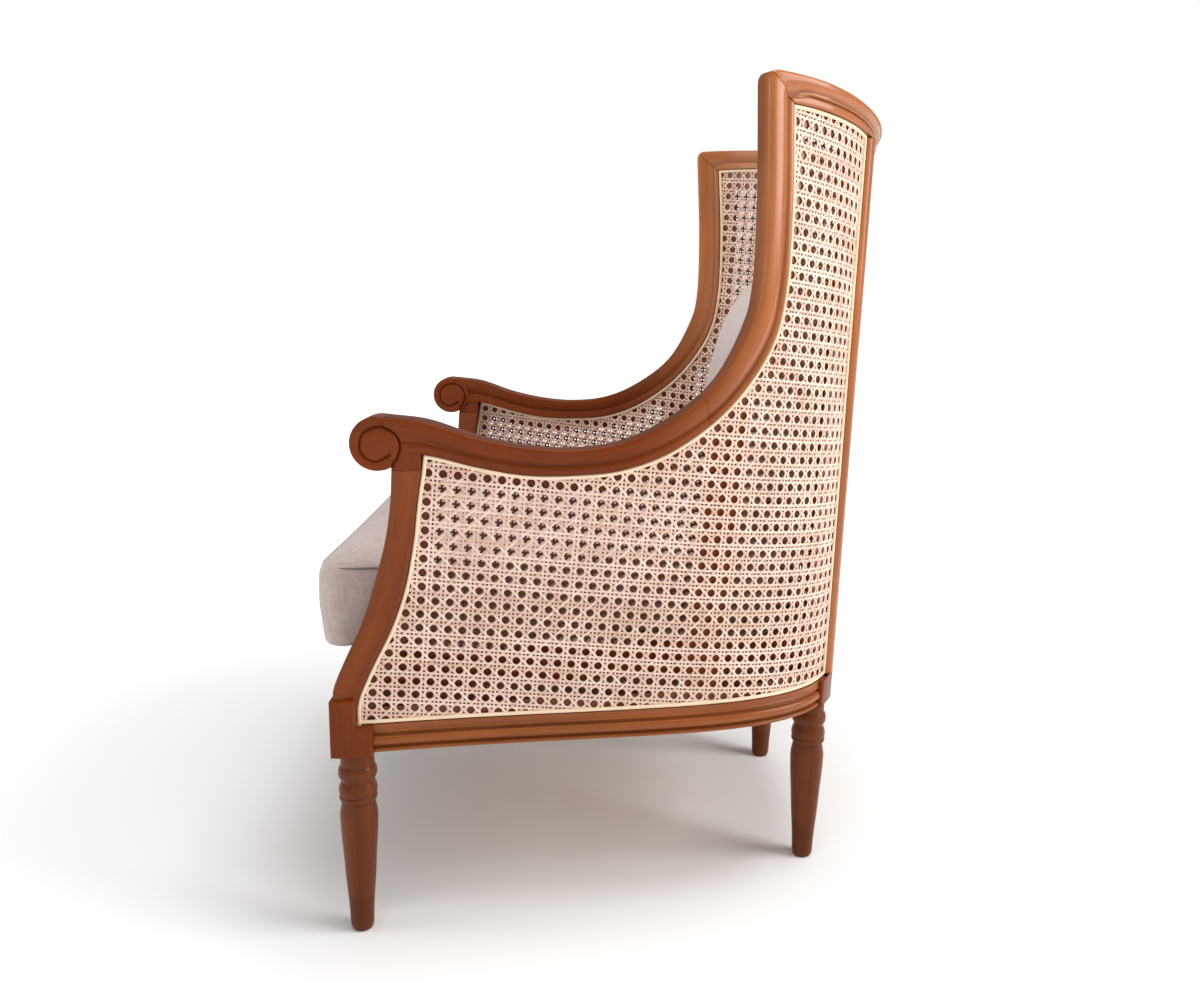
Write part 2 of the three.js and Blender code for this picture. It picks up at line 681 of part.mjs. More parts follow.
// Outline of the seat, closed across the front, with rounded front corners and sides drawn in
function seatOutline({ front, inset, corner, pull, count }) {
  const z = seatCushionSeam;
  const half = tub(uAtDepth(front + corner, z), z, -inset).x;
  const path = new THREE.CurvePath();
  const sideStart = uAtDepth(front + corner, z);
  const sidePoints = [];
  const sideSteps = 24;
  for (let k = 0; k <= sideSteps; k++) {
    const share = k / sideSteps;
    const u = lerp(sideStart, 2 - sideStart, share);
    const drawn = pull * Math.sin(Math.PI * Math.min(1, Math.min(share, 1 - share) * 4));
    const p = tub(u, z, -inset - drawn);
    sidePoints.push(new THREE.Vector3(p.x, p.y, 0));
  }
  const frontLeft = new THREE.Vector3(-half + corner, front, 0);
  const frontRight = new THREE.Vector3(half - corner, front, 0);
  path.add(new THREE.CatmullRomCurve3(sidePoints));
  path.add(new THREE.QuadraticBezierCurve3(sidePoints.at(-1), new THREE.Vector3(-half, front, 0), frontLeft));
  path.add(new THREE.QuadraticBezierCurve3(
    frontLeft, new THREE.Vector3(0, front + pull, 0), frontRight));
  path.add(new THREE.QuadraticBezierCurve3(frontRight, new THREE.Vector3(half, front, 0), sidePoints[0]));
  const places = path.getSpacedPoints(count).slice(0, count).map((p) => new THREE.Vector2(p.x, p.y));
  return places.map((point, i) => {
    const before = places[(i + count - 1) % count];
    const after = places[(i + 1) % count];
    const along = after.clone().sub(before).normalize();
    return { point, normal: new THREE.Vector2(along.y, -along.x) };
  });
}

const seatMiddle = new THREE.Vector2(0, (seatCushionFront + planLow.back - seatCushionInset) / 2);
const padOutline = seatOutline({
  front: frontRailBack + clearance, inset: platformInset, corner: pipingRadius * 4, pull: 0, count: 40,
});
const padBottom = boardBottom + boardThickness + clearance;
const pad = pillow(padOutline, [
  { z: padBottom, scale: 1, out: 0 },
  { z: platformTop - pipingRadius * 2, scale: 1, out: 0 },
  { z: platformTop - platformCrown, scale: 1, out: -pipingRadius * 2 },
  { z: platformTop, scale: 0.6, out: 0 },
], seatMiddle);
addPiece('seat_platform', 'platform', pad);

const cushionOutline = seatOutline({
  front: seatCushionFront, inset: seatCushionInset, corner: pipingRadius * 9, pull: seatCushionPull, count: 50,
});
const cushionSide = seatCushionSeam - seatCushionBottom;
const cushion = pillow(cushionOutline, [
  { z: seatCushionBottom, scale: 0.5, out: 0 },
  { z: seatCushionBottom, scale: 1, out: -seatCushionSwell },
  { z: seatCushionBottom + cushionSide * 0.05, scale: 1, out: 0 },
  { z: seatCushionBottom + cushionSide * 0.25, scale: 1, out: seatCushionSwell * 0.7 },
  { z: seatCushionBottom + cushionSide * 0.55, scale: 1, out: seatCushionSwell },
  { z: seatCushionBottom + cushionSide * 0.85, scale: 1, out: seatCushionSwell * 0.5 },
  { z: seatCushionSeam, scale: 1, out: 0 },
  { z: seatCushionSeam + seatCushionCrown * 0.38, scale: 0.93, out: 0 },
  { z: seatCushionSeam + seatCushionCrown * 0.72, scale: 0.78, out: 0 },
  { z: seatCushionSeam + seatCushionCrown * 0.93, scale: 0.52, out: 0 },
  { z: seatCushionSeam + seatCushionCrown, scale: 0.2, out: 0 },
], seatMiddle);
addPiece('seat_cushion', 'fabric', cushion);

// Piping: a closed round cord laid along a seam
function piping(places, outwards) {
  const sides = 4;
  const count = places.length;
  const rings = places.map((place, i) => {
    const along = places[(i + 1) % count].clone().sub(places[(i + count - 1) % count]).normalize();
    const out = outwards[i].clone().addScaledVector(along, -outwards[i].dot(along)).normalize();
    const across = new THREE.Vector3().crossVectors(along, out);
    const ring = [];
    for (let k = 0; k < sides; k++) {
      const angle = (2 * Math.PI * k) / sides;
      ring.push(place.clone().addScaledVector(out, pipingRadius * Math.cos(angle))
        .addScaledVector(across, pipingRadius * Math.sin(angle)));
    }
    return ring;
  });
  return loft(rings, [], true);
}
function seatPiping(z, out) {
  const places = cushionOutline.map(({ point, normal }) => new THREE.Vector3(
    point.x + normal.x * out, point.y + normal.y * out, z));
  const outwards = cushionOutline.map(({ normal }) => new THREE.Vector3(normal.x, normal.y, 0));
  return piping(places, outwards);
}
const pipingOut = pipingRadius + clearance;
addPiece('seat_piping_top', 'piping', seatPiping(seatCushionSeam, pipingOut));
addPiece('seat_piping_bottom', 'piping', seatPiping(seatCushionBottom + cushionSide * 0.05, pipingOut));

// Back cushion: two crowned faces that meet in one seam, leaning on the back
function backCushionPlace(across, up, thick) {
  const seat = seatCushionSeam + seatCushionCrown * backCushionRestShare + clearance;
  const lift = up * Math.cos(backCushionLean) - thick * Math.sin(backCushionLean);
  const back = up * Math.sin(backCushionLean) + thick * Math.cos(backCushionLean);
  return new THREE.Vector3(across, backCushionFoot + back, seat + lift);
}
function backCushionPoint(share, crown, angle) {
  const power = 1 / backCushionCornerShare;
  const [c, s] = [Math.cos(angle), Math.sin(angle)];
  const reach = share * (Math.abs(c) ** power + Math.abs(s) ** power) ** (-1 / power);
  const thick = crown * (1 - share ** backCushionRoundShare);
  return backCushionPlace(reach * c * backCushionWidthShare * planLow.frontHalfWidth, ((reach * s + 1) * backCushionHeight) / 2, thick);
}
function backCushion() {
  const sides = 40;
  const shares = [0.25, 0.5, 0.72, 0.88, 0.97];
  const rings = [
    ...shares.map((share) => [share, -backCushionFrontCrown]), [1, 0],
    ...shares.toReversed().map((share) => [share, backCushionRearCrown]),
  ];
  const points = [backCushionPoint(0, -backCushionFrontCrown, 0)];
  for (const [share, crown] of rings) {
    for (let k = 0; k < sides; k++) points.push(backCushionPoint(share, crown, (2 * Math.PI * k) / sides));
  }
  points.push(backCushionPoint(0, backCushionRearCrown, 0));
  return geometryFrom(points, ringTriangles(rings.length, sides));
}
addPiece('back_cushion', 'fabric', backCushion());

// Cane sheets and the beads that lock them in
const seatFrontU = uAtDepth(frontLine + postCaneEdgeShares[0][0] * sideDepth, caneBottom);
const stileEdgeU = (z, direction) => backPostU(z) + direction * reachInU(z, stileWidth / 2);
const armCaneStart = 1 / (armCaneEdgeShares.length - 1);
const wingShare = 0.82;
const wingLeanShare = 1.25;
function sideCanePlace(a, b) {
  const bottomU = lerp(seatFrontU, stileEdgeU(caneBottom, -1), a);
  const top = a < wingShare
    ? armCaneEdge(lerp(armCaneStart, 1, (a / wingShare) ** wingLeanShare))
    : topSheetEdge((a - wingShare) / (1 - wingShare));
  const fade = (1 - a) ** 6;
  const curve = firstEdge(b) - lerp(firstEdge(0), firstEdge(1), b);
  return [lerp(bottomU, top[0], b) + fade * curve, lerp(caneBottom, top[1], b)];
}
// The sheet's front edge follows the post and then the arm's neck
const postEdgeU = (z) => postCaneEdge(solve((k) => postCaneEdge(k)[1] - z, 0, 1))[0];
function firstEdge(b) {
  const z = lerp(caneBottom, armCaneEdge(armCaneStart)[1], b);
  return z > postTop ? lerp(postCaneEdge(1)[0], armCaneEdge(armCaneStart)[0], b) : postEdgeU(z);
}
function topSheetEdge(t) {
  const end = railEnd - reachInU(stileTop, stileWidth / 2);
  const s = ((end - cornerCane[0]) / (railEnd - cornerCane[0])) * t;
  return topCaneEdge(s);
}
function backCanePlace(a, b) {
  const from = stileEdgeU(caneBottom, 1);
  const bottomU = lerp(from, 2 - from, a);
  const topFrom = stileEdgeU(stileTop, 1);
  const topU = lerp(topFrom, 2 - topFrom, a);
  const crest = topU > 1 ? 2 - topU : topU;
  return [lerp(bottomU, topU, b), lerp(caneBottom, crestHeight(crest) - topRailHeight(crest), b)];
}

function curvedPanel(place, columns, rows, nearW, farW) {
  const points = [];
  for (const w of [nearW, farW]) {
    for (let i = 0; i <= columns; i++) {
      for (let j = 0; j <= rows; j++) points.push(tub(...place(i / columns, j / rows), w));
    }
  }
  const layer = (columns + 1) * (rows + 1);
  const at = (i, j) => i * (rows + 1) + j;
  const triangles = [];
  for (let i = 0; i < columns; i++) {
    for (let j = 0; j < rows; j++) {
      const [a, b, c, d] = [at(i, j), at(i + 1, j), at(i + 1, j + 1), at(i, j + 1)];
      triangles.push(a, b, c, a, c, d, layer + a, layer + c, layer + b, layer + a, layer + d, layer + c);
    }
  }
  const rim = rimOf(columns, rows, at);
  rim.forEach((a, k) => {
    const b = rim[(k + 1) % rim.length];
    triangles.push(a, layer + a, layer + b, a, layer + b, b);
  });
  return geometryFrom(points, triangles);
}
function rimOf(columns, rows, at) {
  const rim = [];
  for (let i = 0; i < columns; i++) rim.push(at(i, 0));
  for (let j = 0; j < rows; j++) rim.push(at(columns, j));
  for (let i = columns; i > 0; i--) rim.push(at(i, rows));
  for (let j = rows; j > 0; j--) rim.push(at(0, j));
  return rim;
}

function caneBead(place, columns, rows, face, direction) {
  const rim = rimOf(columns, rows, (i, j) => [i / columns, j / rows]);
  const spots = rim.map(([a, b]) => place(a, b));
  const rings = spots.map(([u, z], i) => {
    const here = tub(u, z, face);
    const before = tub(...spots[(i + spots.length - 1) % spots.length], face);
    const after = tub(...spots[(i + 1) % spots.length], face);
    const back = here.clone().sub(before).normalize();
    const forth = after.clone().sub(here).normalize();
    const along = back.clone().add(forth).normalize();
    const out = tub(u, z, face + direction).sub(here).normalize();
    const inward = new THREE.Vector3().crossVectors(out, along).multiplyScalar(direction).normalize();
    const stretch = 1 / Math.max(0.6, along.dot(forth));
    const near = clearance * 2;
    return [[near, 0], [beadWidth * 0.3, beadRise], [beadWidth * 0.75, beadRise], [beadWidth, 0]].map(([p, q]) => here.clone()
      .addScaledVector(inward, p * stretch).addScaledVector(out, q));
  });
  return loft(rings, [], true);
}
const sheets = {
  side_cane_outer: [outerLedge + sheetGap, outerLedge + sheetGap + caneThickness],
  side_cane_inner: [innerLedge - sheetGap, innerLedge - sheetGap - caneThickness],
};
for (const [name, [nearW, farW]] of Object.entries(sheets)) {
  addPair(name, 'cane', curvedPanel(sideCanePlace, 26, 6, nearW, farW));
  const direction = Math.sign(farW - nearW);
  addPair(name.replace('cane', 'bead'), 'bead',
    caneBead(sideCanePlace, 26, 6, farW + direction * 4 * clearance, direction));
  addPiece(name.replace('side', 'back'), 'cane', curvedPanel(backCanePlace, 12, 3, nearW, farW));
  addPiece(name.replace('side', 'back').replace('cane', 'bead'), 'bead',
    caneBead(backCanePlace, 12, 3, farW + direction * 2 * clearance, direction));
}

// Slats in the space between the sheets. The brace stands on the seat rail's ledge and ends under
// the ledge of the arm and the wing.
const braceEdgeU = (aside, z) => {
  const u = lerp(...braceShares, (z - planLow.height) / (planHigh.height - planLow.height));
  return u + lengthInU(u, z, aside);
};
const armLedge = (s) => armCaneEdge(s).map((k, n) => lerp(k, armFreeEdge(s)[n], -ledgeWidthShare));
const braceHeads = [-braceWidth / 2, 0, braceWidth / 2].map((aside) => armLedge(solve((s) => {
  const [u, z] = armLedge(s);
  return u - braceEdgeU(aside, z);
}, armCaneStart, 1))[1] - 4 * clearance);
function bracePlace(a, b) {
  const z = lerp(caneBottom + seatRailLedge + clearance, braceHeads[a * 2], b);
  return [braceEdgeU(lerp(-braceWidth / 2, braceWidth / 2, a), z), z];
}
function deckSlatPlace(a, b) {
  const z = platformTop - deckSlatHeight * (1 - b);
  const front = postEdgeU(z);
  const from = front + lengthInU(front, z, ledgeWidth + clearance);
  return [lerp(from, backPostU(z) - reachInU(z, stileWidth / 2 + ledgeWidth + clearance), a), z];
}
const braceFace = outerLedge - clearance;
const deckSlatFace = braceFace - slatThickness - 4 * clearance;
addPair('side_brace', 'frame', curvedPanel(bracePlace, 2, 2, braceFace - slatThickness, braceFace));
addPair('deck_slat', 'frame', curvedPanel(deckSlatPlace, 18, 1, deckSlatFace - slatThickness, deckSlatFace));

// The origin goes to the middle of the chair's box, on the floor
const whole = new THREE.Box3().setFromObject(chair);
chair.position.set(0, -(whole.min.y + whole.max.y) / 2, 0);

export default chair;
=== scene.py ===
# %% [markdown]
# A caned wing armchair. The frame is moulded hardwood that curves round the sitter like a tub, its
# sides and back are filled with two layers of woven cane, and two loose cushions lie in it.
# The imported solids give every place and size; this script dresses them with finer surfaces.

# %% The frame
import json
import math

import bmesh
import bpy
import numpy as np
from mathutils import Matrix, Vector
from mathutils.bvhtree import BVHTree

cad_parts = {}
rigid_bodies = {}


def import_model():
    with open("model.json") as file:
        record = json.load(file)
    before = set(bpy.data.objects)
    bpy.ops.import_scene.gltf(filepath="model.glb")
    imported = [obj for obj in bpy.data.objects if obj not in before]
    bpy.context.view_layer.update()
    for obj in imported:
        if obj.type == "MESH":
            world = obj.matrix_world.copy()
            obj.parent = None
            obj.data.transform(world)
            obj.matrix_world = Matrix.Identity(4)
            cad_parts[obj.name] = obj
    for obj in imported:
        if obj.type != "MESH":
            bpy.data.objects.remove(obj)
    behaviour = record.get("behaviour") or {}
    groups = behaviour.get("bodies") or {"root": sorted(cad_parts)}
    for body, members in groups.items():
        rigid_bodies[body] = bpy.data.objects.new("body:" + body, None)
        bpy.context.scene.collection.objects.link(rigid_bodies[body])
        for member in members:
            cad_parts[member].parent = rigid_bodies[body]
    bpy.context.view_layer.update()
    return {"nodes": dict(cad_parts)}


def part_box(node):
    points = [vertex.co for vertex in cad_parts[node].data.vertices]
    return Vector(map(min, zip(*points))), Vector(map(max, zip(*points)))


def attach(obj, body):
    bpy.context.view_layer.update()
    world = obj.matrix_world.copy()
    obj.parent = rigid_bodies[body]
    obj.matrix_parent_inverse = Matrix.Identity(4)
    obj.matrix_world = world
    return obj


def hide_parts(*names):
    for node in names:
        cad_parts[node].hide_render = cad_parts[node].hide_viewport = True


for leftover in list(bpy.data.objects):
    bpy.data.objects.remove(leftover)
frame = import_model()
scene = bpy.context.scene
MM = 0.001
TAU = 2 * np.pi

# %% [markdown]
# All drawings below count depth from the middle of the drawing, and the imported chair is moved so
# that its box is centred on the floor. The front leg's axis tells by how much.

# %% The drawing's depth shift
LEG_AXIS_DEPTH = -250.2 * MM
leg_low, leg_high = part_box("front_leg_left")
SHIFT = (leg_low.y + leg_high.y) / 2 - LEG_AXIS_DEPTH
print("shift in mm:", round(SHIFT / MM, 2))

# %% [markdown]
# The camera looks at the chair's left side from a little above, slightly turned to the front.
# Its place and turns were solved from points that are the same on both sides of the chair.

# %% The camera
CAMERA_PLACE = (1.4224, -0.0543, 0.7310)
CAMERA_YAW = 0.02672
CAMERA_PITCH = 0.18450
CAMERA_ROLL = 0.01298
CAMERA_LENS = 30
CAMERA_SENSOR = 36


def camera_turn(yaw, pitch, roll):
    """Axes of the camera in columns: right, up and back, from its heading, dip and roll."""
    level_share = math.cos(pitch)
    ahead = np.array([-level_share * math.cos(yaw), level_share * math.sin(yaw), -math.sin(pitch)])
    level = np.array([math.sin(yaw), math.cos(yaw), 0])
    above = np.cross(level, ahead)
    right = math.cos(roll) * level + math.sin(roll) * above
    up = -math.sin(roll) * level + math.cos(roll) * above
    return Matrix(np.column_stack([right, up, -ahead]).tolist()).to_4x4()


camera = bpy.data.objects.new("camera", bpy.data.cameras.new("camera"))
scene.collection.objects.link(camera)
camera.data.lens = CAMERA_LENS
camera.data.sensor_fit = "HORIZONTAL"
camera.data.sensor_width = CAMERA_SENSOR
camera.data.clip_start = 0.05
turned_by = camera_turn(CAMERA_YAW, CAMERA_PITCH, CAMERA_ROLL)
camera.matrix_world = Matrix.Translation(CAMERA_PLACE) @ turned_by
scene.camera = camera

# %% [markdown]
# A mesh is made from arrays: points, faces and, where a pattern runs along the piece, a map.
# Grids come up again and again here, so one helper turns rows of points into faces.

# %% Mesh helpers


def new_object(name, mesh):
    """An object of that name in the scene."""
    piece = bpy.data.objects.new(name, mesh)
    scene.collection.objects.link(piece)
    return piece


def unit(vectors, least=0.0):
    """Each vector at length one; least keeps one without length from failing."""
    return vectors / (np.linalg.norm(vectors, axis=1)[:, None] + least)


def run_lengths(line):
    """Distance along a line of points, from its first point to each one."""
    return np.concatenate([[0], np.cumsum(np.linalg.norm(np.diff(line, axis=0), axis=1))])


def points_at(places, marks, line):
    """Points of a line at places on the scale of its marks."""
    return np.stack([np.interp(places, marks, line[:, k]) for k in range(line.shape[1])], -1)


def coordinates(mesh):
    """The mesh's points in rows of x, y and z."""
    flat = np.empty(len(mesh.vertices) * 3, np.float32)
    mesh.vertices.foreach_get("co", flat)
    return flat.reshape(-1, 3)


def grid_faces(rows, columns, close_rows=False, close_columns=False, start=0):
    """Quads between neighbouring points of a grid whose index is row * columns + column."""
    i = np.arange(rows if close_rows else rows - 1)
    j = np.arange(columns if close_columns else columns - 1)
    a, b = [k.ravel() for k in np.meshgrid(i, j, indexing="ij")]
    a2, b2 = (a + 1) % rows, (b + 1) % columns
    corners = (a, b), (a2, b), (a2, b2), (a, b2)
    return np.column_stack([row * columns + column for row, column in corners]) + start


def mesh_from(name, points, quads, caps=(), crease=35, maps=None, tones=None):
    """A mesh of quads and end caps; edges sharper than the crease angle stay sharp."""
    faces = quads.tolist() + [list(map(int, cap)) for cap in caps]
    mesh = bpy.data.meshes.new(name)
    mesh.from_pydata(points.tolist(), [], faces)
    mesh.validate()
    if maps is not None:
        loops = np.zeros(len(mesh.loops), np.int32)
        mesh.loops.foreach_get("vertex_index", loops)
        layer = mesh.uv_layers.new(name="along")
        layer.data.foreach_set("uv", np.asarray(maps, np.float32)[loops].ravel())
    for key, values in (tones or {}).items():
        layer = mesh.attributes.new(key, "FLOAT", "POINT")
        layer.data.foreach_set("value", np.asarray(values, np.float32))
    point_outwards(mesh)
    mesh.shade_smooth()
    mesh.set_sharp_from_angle(angle=math.radians(crease))
    return mesh


def point_outwards(mesh):
    """Turns every face so that its front points out of the closed shell that it belongs to."""
    work = bmesh.new()
    work.from_mesh(mesh)
    bmesh.ops.recalc_face_normals(work, faces=work.faces)
    work.to_mesh(mesh)
    work.free()


def tube_mesh(name, rings, closed=False, crease=35, maps=None, tones=None):
    """Rings of equal count, shape (rings, points, 3), joined to one closed surface."""
    rows, columns = rings.shape[:2]
    caps = [] if closed else [np.arange(columns)[::-1], np.arange(columns) + (rows - 1) * columns]
    faces = grid_faces(rows, columns, closed, True)
    return mesh_from(name, rings.reshape(-1, 3), faces, caps, crease, maps, tones)


def swept(name, rings, along, around, closed=False, crease=35, **tones):
    """A tube with a map: each ring's place along it and each point's place around. A tone, one value
    or one for each point, becomes an attribute."""
    maps = np.stack(np.broadcast_arrays(along[:, None], around[None, :]), -1).reshape(-1, 2)
    tones = {key: np.broadcast_to(value, rings.shape[:2]).ravel() for key, value in tones.items()}
    return tube_mesh(name, rings, closed, crease, maps, tones)


def joined(name, meshes):
    """Several closed shells become one piece."""
    work = bmesh.new()
    for mesh in meshes:
        work.from_mesh(mesh)
    whole = bpy.data.meshes.new(name)
    work.to_mesh(whole)
    work.free()
    whole.shade_smooth()
    whole.set_sharp_from_angle(angle=math.radians(35))
    return whole


def mirrored(mesh, name):
    """The same piece on the other side: x changes its sign and the faces turn round."""
    twin = mesh.copy()
    twin.name = name
    places = coordinates(twin)
    places[:, 0] *= -1
    twin.vertices.foreach_set("co", places.ravel())
    twin.flip_normals()
    return twin


# %% [markdown]
# The tub is a ruled surface. A plan curve is drawn low and another one high, and straight lines
# join points of equal share. The outer cane lies on it, and every member is drawn on it.

# %% The tub
FRONT_LINE = -264.6 * MM
SIDE_DEPTH = 640 * MM
HEIGHT = 991 * MM
LOW_Z, HIGH_Z = 245 * MM, 980 * MM
LOW = (335.3 * MM, 412.5 * MM, math.radians(12.23), 328.2 * MM, 365.4 * MM)
HIGH = (367.2 * MM, 399.7 * MM, math.radians(-3.8), 239.1 * MM, 390.6 * MM)
SQUARE_SHARE, ROUND_SHARE = 0.1, 0.35
HALVINGS, SMALL_STEP = 36, 0.002


def plan_curve(plan, t):
    """Cubic curve of one side in plan, and its slope: from the front line to the middle of the back."""
    half, front_handle, turn, back_handle, back = plan
    xs = [half, half - front_handle * math.sin(turn), back_handle, 0]
    ys = [FRONT_LINE, FRONT_LINE + front_handle * math.cos(turn), back, back]
    weights = [(1 - t) ** 3, 3 * (1 - t) ** 2 * t, 3 * (1 - t) * t ** 2, t ** 3]
    slopes = [3 * (1 - t) ** 2, 6 * (1 - t) * t, 3 * t ** 2]
    x = sum(p * q for p, q in zip(xs, weights))
    y = sum(p * q for p, q in zip(ys, weights))
    dx = sum((xs[k + 1] - xs[k]) * slopes[k] for k in range(3))
    dy = sum((ys[k + 1] - ys[k]) * slopes[k] for k in range(3))
    return x, y, dx, dy


def smooth(value, low=0.0, high=1.0):
    """Soft step from 0 to 1 between two limits."""
    t = np.clip((value - low) / (high - low), 0, 1)
    return t * t * (3 - 2 * t)


def tub(u, z, w=0.0):
    """Points of the tub: u from 0 at the left front over 1 in the back's middle to 2, z the height,
    w the distance outward. Near the front that distance is measured straight across the chair."""
    u, z, w = np.broadcast_arrays(np.asarray(u, float), np.asarray(z, float), np.asarray(w, float))
    side = np.where(u > 1, -1.0, 1.0)
    v = np.where(u > 1, 2 - u, u)
    lx, ly, ldx, ldy = plan_curve(LOW, v)
    hx, hy, hdx, hdy = plan_curve(HIGH, v)
    k = ruling_share(z)
    dx, dy = ldx + (hdx - ldx) * k, ldy + (hdy - ldy) * k
    length = np.hypot(dx, dy)
    square = 1 - smooth(v, SQUARE_SHARE, ROUND_SHARE)
    out_x = dy / length * (1 - square) + square
    out_y = -dx / length * (1 - square)
    x = lx + (hx - lx) * k + w * out_x
    y = ly + (hy - ly) * k + w * out_y
    return np.stack([side * x, y + SHIFT, z], -1)


def halved(value, low, high, shape):
    """Where a falling or rising function crosses zero, by halving the interval."""
    low, high = np.full(shape, float(low)), np.full(shape, float(high))
    rising = value(high) > value(low)
    for _ in range(HALVINGS):
        middle = (low + high) / 2
        below = (value(middle) < 0) == rising
        low, high = np.where(below, middle, low), np.where(below, high, middle)
    return (low + high) / 2


def length_in_u(u, z, length):
    """How far u changes over a length along the tub."""
    apart = np.linalg.norm(tub(u + SMALL_STEP, z) - tub(u - SMALL_STEP, z), axis=-1)
    return length * 2 * SMALL_STEP / apart


def ruling_share(z):
    """Share of a height from the low plan at 0 to the high one at 1."""
    return (z - LOW_Z) / (HIGH_Z - LOW_Z)


def u_at_depth(y, z):
    """The place on the tub's left side that lies at a depth."""
    return halved(lambda u: tub(u, z)[..., 1] - SHIFT - y, -0.2, 0.98, np.shape(y))


def u_at_width(x, z):
    """The place on the tub's left side that lies at a distance from the middle."""
    return halved(lambda u: tub(u, z)[..., 0] - x, 0.5, 1.0, np.shape(z))


print("tub at the back, mm:", np.round(tub(1, HEIGHT) / MM, 1))

# %% [markdown]
# Each member is drawn by two edges on the tub: its free edge, and the edge beside the cane.
# The drawings are shares of the side's depth and of the height above the seat rail's underside.
# A smooth curve runs through the drawn points, as a batten bent round nails would.

# %% Drawn edges
RAIL_BOTTOM = 226.5 * MM
CANE_BOTTOM = 263 * MM
ARM_FREE = [
    (0.093, 0.5132), (0.163, 0.5061), (0.245, 0.4841), (0.331, 0.4698), (0.415, 0.4659),
    (0.501, 0.4763), (0.588, 0.51), (0.668, 0.5645), (0.72, 0.6416), (0.738, 0.7057),
    (0.74, 0.8276), (0.731, 1),
]
ARM_CANE = [
    (0.093, 0.4556), (0.159, 0.4582), (0.245, 0.44), (0.329, 0.4271), (0.413, 0.4258),
    (0.504, 0.4335), (0.596, 0.4633), (0.6915, 0.5243), (0.765, 0.6111), (0.79, 0.7006),
    (0.793, 0.8276), (0.785, 0.9585),
]
POST_FRONT = [
    (-0.0123, 0.0304), (-0.0123, 0.09), (-0.0084, 0.1121), (0.012, 0.1522), (0.043, 0.2086),
    (0.0666, 0.2689), (0.087, 0.3311), (0.098, 0.3869), (0.1025, 0.4361),
]
POST_CANE = [
    (0.029, 0.0304), (0.0306, 0.077), (0.0416, 0.1043), (0.0634, 0.1445), (0.0947, 0.1976),
    (0.12, 0.2585), (0.137, 0.3285), (0.146, 0.3869), (0.1556, 0.4361),
]
ELBOW = 0.6


def batten(points, t):
    """Smooth curve through points at equal steps of t, with slopes from each point's neighbours."""
    points = np.asarray(points, float)
    points = np.vstack([2 * points[0] - points[1], points, 2 * points[-1] - points[-2]])
    place = np.clip(np.asarray(t, float), 0, 1) * (len(points) - 3)
    k = np.minimum(place.astype(int), len(points) - 4)
    f = (place - k)[..., None]
    a, b, c, d = (points[k + n] for n in range(4))
    return b + 0.5 * f * (c - a + f * (2 * a - 5 * b + 4 * c - d + f * (3 * (b - c) + d - a)))


def depth_at(share):
    """Depth at a share of the side, from the front line."""
    return FRONT_LINE + share * SIDE_DEPTH


def height_at(share):
    """Height at a share of the way from the seat rail's underside to the top."""
    return RAIL_BOTTOM + share * (HEIGHT - RAIL_BOTTOM)


def drawn_edge(shares):
    """The drawn line as a function from 0..1 to its depth and height."""
    rows = [(depth_at(d), height_at(h)) for d, h in shares]
    return lambda s: batten(rows, s)


def on_tub(edge):
    """A line in depth and height becomes one in u and height."""
    def placed(s):
        place = edge(s)
        return np.stack([u_at_depth(place[..., 0], place[..., 1]), place[..., 1]], -1)
    return placed


arm_free, arm_cane = drawn_edge(ARM_FREE), drawn_edge(ARM_CANE)
post_free, post_cane = on_tub(drawn_edge(POST_FRONT)), on_tub(drawn_edge(POST_CANE))
corner, corner_cane = arm_free(1.0), arm_cane(1.0)
print("top corner, depth and height in mm:", np.round(corner / MM, 1))

# %% [markdown]
# Mouldings are cut with a shaped knife along each member, so a member is one profile carried
# along two edges. The profile has a fillet beside the cane, a cove and a broad roll, an arris
# and a rounded nose. Its points are (share across, height); smooth runs meet at sharp corners.

# %% Profiles
OUTER_LEDGE, INNER_LEDGE = -2.8 * MM, -10.4 * MM
FACE, CANE_GAP, PLAY = 36 * MM, 1.4 * MM, 0.3 * MM
CANE_GAP_SHARE = CANE_GAP / FACE
LEDGE_SHARE = -0.6
RUN_STEPS = 5


def profile(start, *runs):
    """An outline from a first corner on. Each run leads from the corner before it through its own
    points, as a batten where it has several, to the next corner. The last corner is left out."""
    parts = []
    for run in runs:
        run = np.array([start, *run], float)
        steps = (len(run) - 1) * RUN_STEPS if len(run) > 2 else 1
        parts.append(batten(run, np.arange(steps) / steps))
        start = run[-1]
    return np.vstack(parts)


